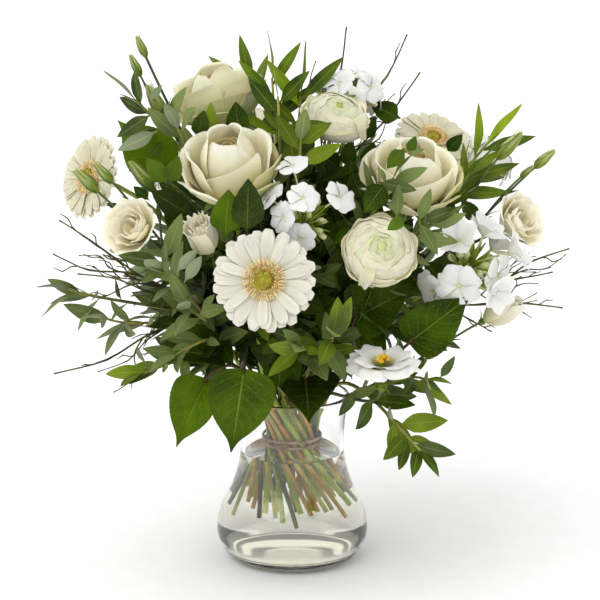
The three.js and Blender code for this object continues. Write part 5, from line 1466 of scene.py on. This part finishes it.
def sideTwig(fine, at, reach, draw, steps=2):
    ahead = (fine[at + 1] - fine[at]).normalized()
    x, y = across(ahead)
    aim = (ahead + around(x, y, draw.uniform(0, 6.28)) * draw.uniform(0.4, 0.8)).normalized()
    points = []
    for share, bend in ((0, 0), (0.3, 0.25), (0.65, -0.2), (1, 0.3)):
        point = fine[at] + (aim + ahead * bend).normalized() * reach * share
        inBox = [min(max(value, low / mm - 6), high / mm + 6) for value, low, high in zip(point, *cadBox)]
        points.append(Vector(inBox))  # at most 6 mm past the solids
    return knobbly(smoothPath(points, steps), (0.85 if steps > 2 else 0.65, 0.42), draw)


def buildTwigs(name, tips, seed):
    draw, middle, root = Random(seed), Vector((0, 0, 190)), Vector((0, 0, 230))
    known, tips = cornersOf(name), [Vector(tip) for tip in tips]
    crown = tips[0].lerp(middle, 0.5)
    main, cut = growStem(name, known, crown, (tips[0] - root).normalized(), 1.8)
    strands, fine = [stemStrand(main, cut)], []
    for k, tip in enumerate(tips):
        point, tangent = spotOn(main["path"], 0.98 - 0.13 * k)
        arrive = (tip - root).normalized()
        plan = dict(start=point, leave=tangent, end=tip, arrive=arrive, crook=9, seed=seed + 10 * k)
        shoot = takenWay(known, plan, 4, (1.5, 0.8), 3)
        if not shoot:
            continue
        strands.append(knobbly(shoot["fine"], (1.4, 0.65), draw))
        path, chance = shoot["path"], dice(seed + 10 * k + 1)
        ahead = (path[2] - path[1]).normalized()
        x, y = across(ahead)
        aim = (ahead + around(x, y, chance() * 2 * math.pi) * 0.7).normalized()
        end = path[1] + aim * mix(30, 50, chance())
        plan = dict(start=path[1], leave=aim, end=end, arrive=aim, crook=6, seed=seed + 10 * k)
        fork = takenWay(known, plan, 2, (1, 0.7), 3)
        if fork:
            strands.append(knobbly(fork["fine"], (1.0, 0.55), draw))
            fine += [[sideTwig(fork["fine"], at, draw.uniform(8, 16), draw)] for at in (3, 6)]
        for at in (3, 5, 7, 9):  # long side branches, each with its own short one
            branch = sideTwig(shoot["fine"], at, draw.uniform(60, 110) * (1.15 - at / 16), draw, 4)
            fine.append([branch, sideTwig(branch[0], 7, draw.uniform(12, 26), draw)])
        for at in (8, 13):
            fine.append([sideTwig(shoot["fine"], at, draw.uniform(10, 24), draw)])
    for group in fine:
        if all(clearOfBlooms(spot, 2) for strand in group for spot in strand[0]):
            strands += group
    finishPiece(camel(name) + "Branch", [strandsOf(name, strands, looks["bark"])], "twig", name)


for i, (name, tips) in enumerate(twigs.items()):
    buildTwigs(name, tips, 400 + 100 * i)

# Foliage behind the flowers: short shoots that fan out from the middle, dark and dense as in a full bouquet.
filler = dict(centre=(0, 0, 262), reach=(130, 120, 142), shoots=112, leaves=9, broadLeaves=5, coreLeaves=120,
              neckLeaves=60, neckHeight=166, neckRise=62, neckStems=40, seed=11,
              kinds=("rose", "eucalyptus", "broad", "eucalyptus", "rose", "fresh"),
              lengths={"broad": 48, "rose": 34, "eucalyptus": 38, "fresh": 38},
              slots={"eucalyptus": "eucalyptus", "fresh": "eucalyptus", "broad": "salal", "rose": "green_stem"})


def addLeaf(groups, kind, root, aim, length, draw, tone):
    face = square((root - heart).normalized() * 0.8 + up * 0.6, aim)
    clear = all(clearOfBlooms(root + aim * length * share, -4) for share in (0, 0.5, 1))
    if face.length > 0.15 and clear:
        pose = dict(root=root, aim=aim, face=face.normalized(), length=length)
        groups[kind].append(leafAt(leafModels[kind], pose, draw, tone))


def fillerShoots(draw, groups):  # short shoots with leaves all along them
    centre, count, strands = Vector(filler["centre"]), filler["shoots"], []
    for k in range(count):
        tilt = math.acos(1 - 1.42 * (k + 0.5) / count)
        out = onDome(tilt, k * goldenAngle + draw.uniform(-0.1, 0.1))
        span = Vector([part * reach for part, reach in zip(out, filler["reach"])]) * draw.uniform(0.78, 1.0)
        end = centre + span
        start = centre + span * 0.25 + Vector((0, 0, -18))
        side = across(out)[0]
        path = smoothPath([start, start.lerp(end, 0.5) + side * draw.uniform(-12, 12), end], 5)
        kind = filler["kinds"][k % 6]
        low = Vector((start.x * 0.4, start.y * 0.4, 158))
        stalk = smoothPath([low, low.lerp(start, 0.5) + side * draw.uniform(-6, 6), start], 3)[:-1] + path
        strands.append((stalk, taper((1.6, 0.8), len(stalk))))
        last = (filler["broadLeaves"] if kind == "broad" else filler["leaves"]) - 1
        for j in range(last + 1):
            point, tangent = spotOn(path, mix(0.12, 1, j / last))
            x, y = across(tangent)
            angle = j * 2.6 + draw.uniform(-0.3, 0.3)
            lean = 0.0 if j == last else draw.uniform(0.6, 1.0)
            aim = (tangent * math.cos(lean) + around(x, y, angle) * math.sin(lean)).normalized()
            length = filler["lengths"][kind] * draw.uniform(0.8, 1.15)
            addLeaf(groups, kind, point, aim, length, draw, draw.uniform(0, 0.15 + 0.45 * j / last))
    return strands


def coreLeaves(draw, groups):  # large leaves that fill the middle, in their darkest tones as painted shade
    for k in range(filler["coreLeaves"]):
        out = onDome(math.acos(1 - 1.3 * (k + 0.5) / filler["coreLeaves"]), k * goldenAngle)
        root = Vector(filler["centre"]) + Vector((0, 0, 10)) + out * draw.uniform(40, 92)
        aim = (across(out)[k % 2] * draw.choice((-1, 1)) + out * draw.uniform(0.0, 0.6)).normalized()
        addLeaf(groups, ("broad", "rose")[k % 2], root, aim, draw.uniform(46, 62), draw, draw.uniform(0, 0.1))


def neckLeaves(draw, groups):  # short leaves that close the gaps over the rim
    low, rise = filler["neckHeight"], filler["neckRise"]
    for k in range(filler["neckLeaves"]):
        turn, height = k * goldenAngle, low + rise * (k / filler["neckLeaves"]) ** 0.8
        out = Vector((math.cos(turn), math.sin(turn), 0))
        root = out * mix(14, 46, (height - low) / rise) + up * height
        aim = (out + up * draw.uniform(0.0, 0.8) + out.cross(up) * draw.uniform(-0.5, 0.5)).normalized()
        kind = ("broad", "rose", "eucalyptus")[k % 3]
        addLeaf(groups, kind, root, aim, draw.uniform(30, 46), draw, draw.uniform(0, 0.15))


def neckStems(draw):  # thin stems that cross below the flowers
    strands = []
    for _ in range(filler["neckStems"]):
        turn, spread = draw.uniform(0, 6.28), draw.uniform(30, 95)
        low = Vector((18 * math.cos(turn - 0.6), 18 * math.sin(turn - 0.6), 156))
        end = Vector((spread * math.cos(turn), spread * math.sin(turn), draw.uniform(215, 285)))
        path = smoothPath([low, low.lerp(end, 0.45) + scatter(draw, 7), end], 4)
        strands.append((path, taper((1.1, 0.6), len(path))))
    return strands


def buildFiller():
    draw, groups = Random(filler["seed"]), {"eucalyptus": [], "fresh": [], "broad": [], "rose": []}
    strands = fillerShoots(draw, groups)
    coreLeaves(draw, groups)
    neckLeaves(draw, groups)
    strands += neckStems(draw)
    shade = [placedLeaf(*row) for row in placedLeaves["shade"]]
    for kind, parts in groups.items():
        finishPiece("innerFoliage" + kind.title(), parts, filler["slots"][kind])
    finishPiece("innerFoliageShade", shade, "salal")
    finishPiece("innerShoots", [strandsOf("innerShoots", strands, looks["innerStem"])], "green_stem")


buildFiller()
print("twigs and inner foliage built")

# The vase: spun from its outline, with a thick base and a rounded rim.
vase = dict(  # outline and foot: radius and height
    wall=4, rim=2.6, floor=11, level=104, sides=96, steps=56, foot=((0, 1.6), (36, 1.2), (44, 0.3)),
    outline=((50, 0), (62, 6), (69.5, 18), (71.5, 31), (67.5, 50), (56.5, 73), (50, 96), (49, 122), (53.5, 160)))


def buildVase():
    outside = [curveAt(vase["outline"], i / vase["steps"]) for i in range(vase["steps"] + 1)]
    inside = []
    for point in outside:
        if point.y > vase["floor"] + 6:  # the wall thins out to the rim
            inside.append(Vector((point.x - mix(vase["wall"], vase["rim"], smoothStep(120, 160, point.y)), point.y)))
    first, floor = inside[0], vase["floor"]
    rounds = ((0.5, 0.0), (0.8, 0.02), (0.9, 0.13), (0.96, 0.4), (0.99, 0.75))
    bowl = [Vector((first.x * share, floor + (first.y - floor) * lift)) for share, lift in rounds]
    top = outside[-1]
    outside[-1] = Vector((top.x, top.y - 1))
    inside[-1] = Vector((inside[-1].x, top.y - 1))
    roundings = ((0.16, 0.25), (0.5, 0), (0.84, 0.25))
    rim = [Vector((top.x - vase["rim"] * share, top.y - drop)) for share, drop in roundings]
    foot = [Vector(spot) for spot in vase["foot"]]  # the base is hollowed a little
    profile = [*foot, *outside, *rim, *reversed(inside), *reversed(bowl), Vector((0, floor))]
    glass = spunModel("glassVase", [point * mm for point in profile], vase["sides"], looks["glass"], False)
    finishPiece("glassVase", [glass], "glass", "vase")
    grow = 0.25  # into the glass, so no film of air shows between them
    level = vase["level"]
    wet = [point + Vector((grow, -0.1)) for point in [*bowl, *inside] if point.y < level]
    edge = wet[-1].x  # where the water climbs the glass a little
    surface = [Vector((edge, level + 0.8)), Vector((edge - 1.2, level)), Vector((0, level))]
    wet = [Vector((0, floor - grow)), *wet, *surface]
    water = spunModel("vaseWater", [point * mm for point in wet], vase["sides"], looks["water"], False)
    finishPiece("vaseWater", [water], "water", "water")


buildVase()

# Raffia wound round the stems in two bands, each of a few uneven strands.
raffia = dict(radius=27.4, thick=0.8, bands=(113.6, 118.6), strands=5, steps=60, seed=3)


def buildTie():
    draw, strands = Random(raffia["seed"]), []
    for height in raffia["bands"]:
        for k in range(raffia["strands"]):
            phase, lift = draw.uniform(0, 6.28), draw.uniform(-0.9, 0.9)
            points = []
            for i in range(raffia["steps"] + 1):
                turn = i * 2 * math.pi / raffia["steps"]
                reach = raffia["radius"] + 0.5 * math.sin(turn * 3 + phase) + 0.25 * (k % 2)
                z = height + lift + 0.5 * math.sin(turn * 2 + phase)
                points.append(Vector((reach * math.cos(turn), reach * math.sin(turn), z)))
            strands.append((points, [raffia["thick"]] * len(points)))
    finishPiece("raffiaTie", [strandsOf("raffiaTie", strands, looks["raffia"])], "twine", "twine")


buildTie()
print("vase, water and tie built")

for model in models:  # only their copies are part of the bouquet
    bpy.data.objects.remove(model)

# The studio: a pale floor that runs to the horizon, soft light all round and a broad key from the upper left.
studio = dict(target=(7.4, 0, 249), distance=2000, elevation=13, lens=129.03, sky=1.02,
              key=1.12, keySoftness=50, keyFrom=(-1.0, -1.3, 1.9), floorSize=60)


# Matt white card: a faint fibre with waves of 25 mm, so that the ground reads as a surface and not as fog.
def floorLook():
    material, tree = newLook("mattWhiteCard")
    coords = addNode(tree, "TexCoord")
    grain = addNode(tree, "TexNoise", {"Vector": coords.outputs["Object"], "Scale": 40.0, "Detail": 3.0})
    colour = addNode(tree, "ValToRGB", {"Fac": grain}, [(0.3, "#f7f7f7"), (0.7, "#fbfbfb")])
    finishLook(tree, {"Base Color": colour, "Roughness": 0.8}, grain, 0.05)
    return material


def aimAt(ob, spot, target):
    ob.location = spot
    ob.rotation_euler = (target - spot).to_track_quat("-Z", "Y").to_euler()


def addKey():
    light = bpy.data.lights.new("softKey", "SUN")
    light.energy, light.angle = studio["key"], math.radians(studio["keySoftness"])
    ob = linked("softKey", light)
    aimAt(ob, Vector(studio["keyFrom"]), Vector())
    ob.visible_glossy = False  # the glass mirrors the room, not the lamp


def buildStudio():
    clearSelection()
    bpy.ops.mesh.primitive_plane_add(size=studio["floorSize"])
    floor = bpy.context.object
    floor.name = "paleFloor"
    floor.data.materials.append(floorLook())
    world = bpy.data.worlds.new("studioSky")
    bpy.context.scene.world = world
    world.use_nodes = True
    background = world.node_tree.nodes["Background"]
    background.inputs["Color"].default_value = (1, 1, 1, 1)
    background.inputs["Strength"].default_value = studio["sky"]
    addKey()
    camera = linked("frontCamera", bpy.data.cameras.new("frontCamera"))
    tilt, target = math.radians(studio["elevation"]), Vector(studio["target"]) * mm
    aimAt(camera, target + Vector((0, -math.cos(tilt), math.sin(tilt))) * studio["distance"] * mm, target)
    camera.data.lens = studio["lens"]
    bpy.context.scene.camera = camera
    bpy.context.scene.view_settings.view_transform = "Standard"


buildStudio()
print("studio ready")
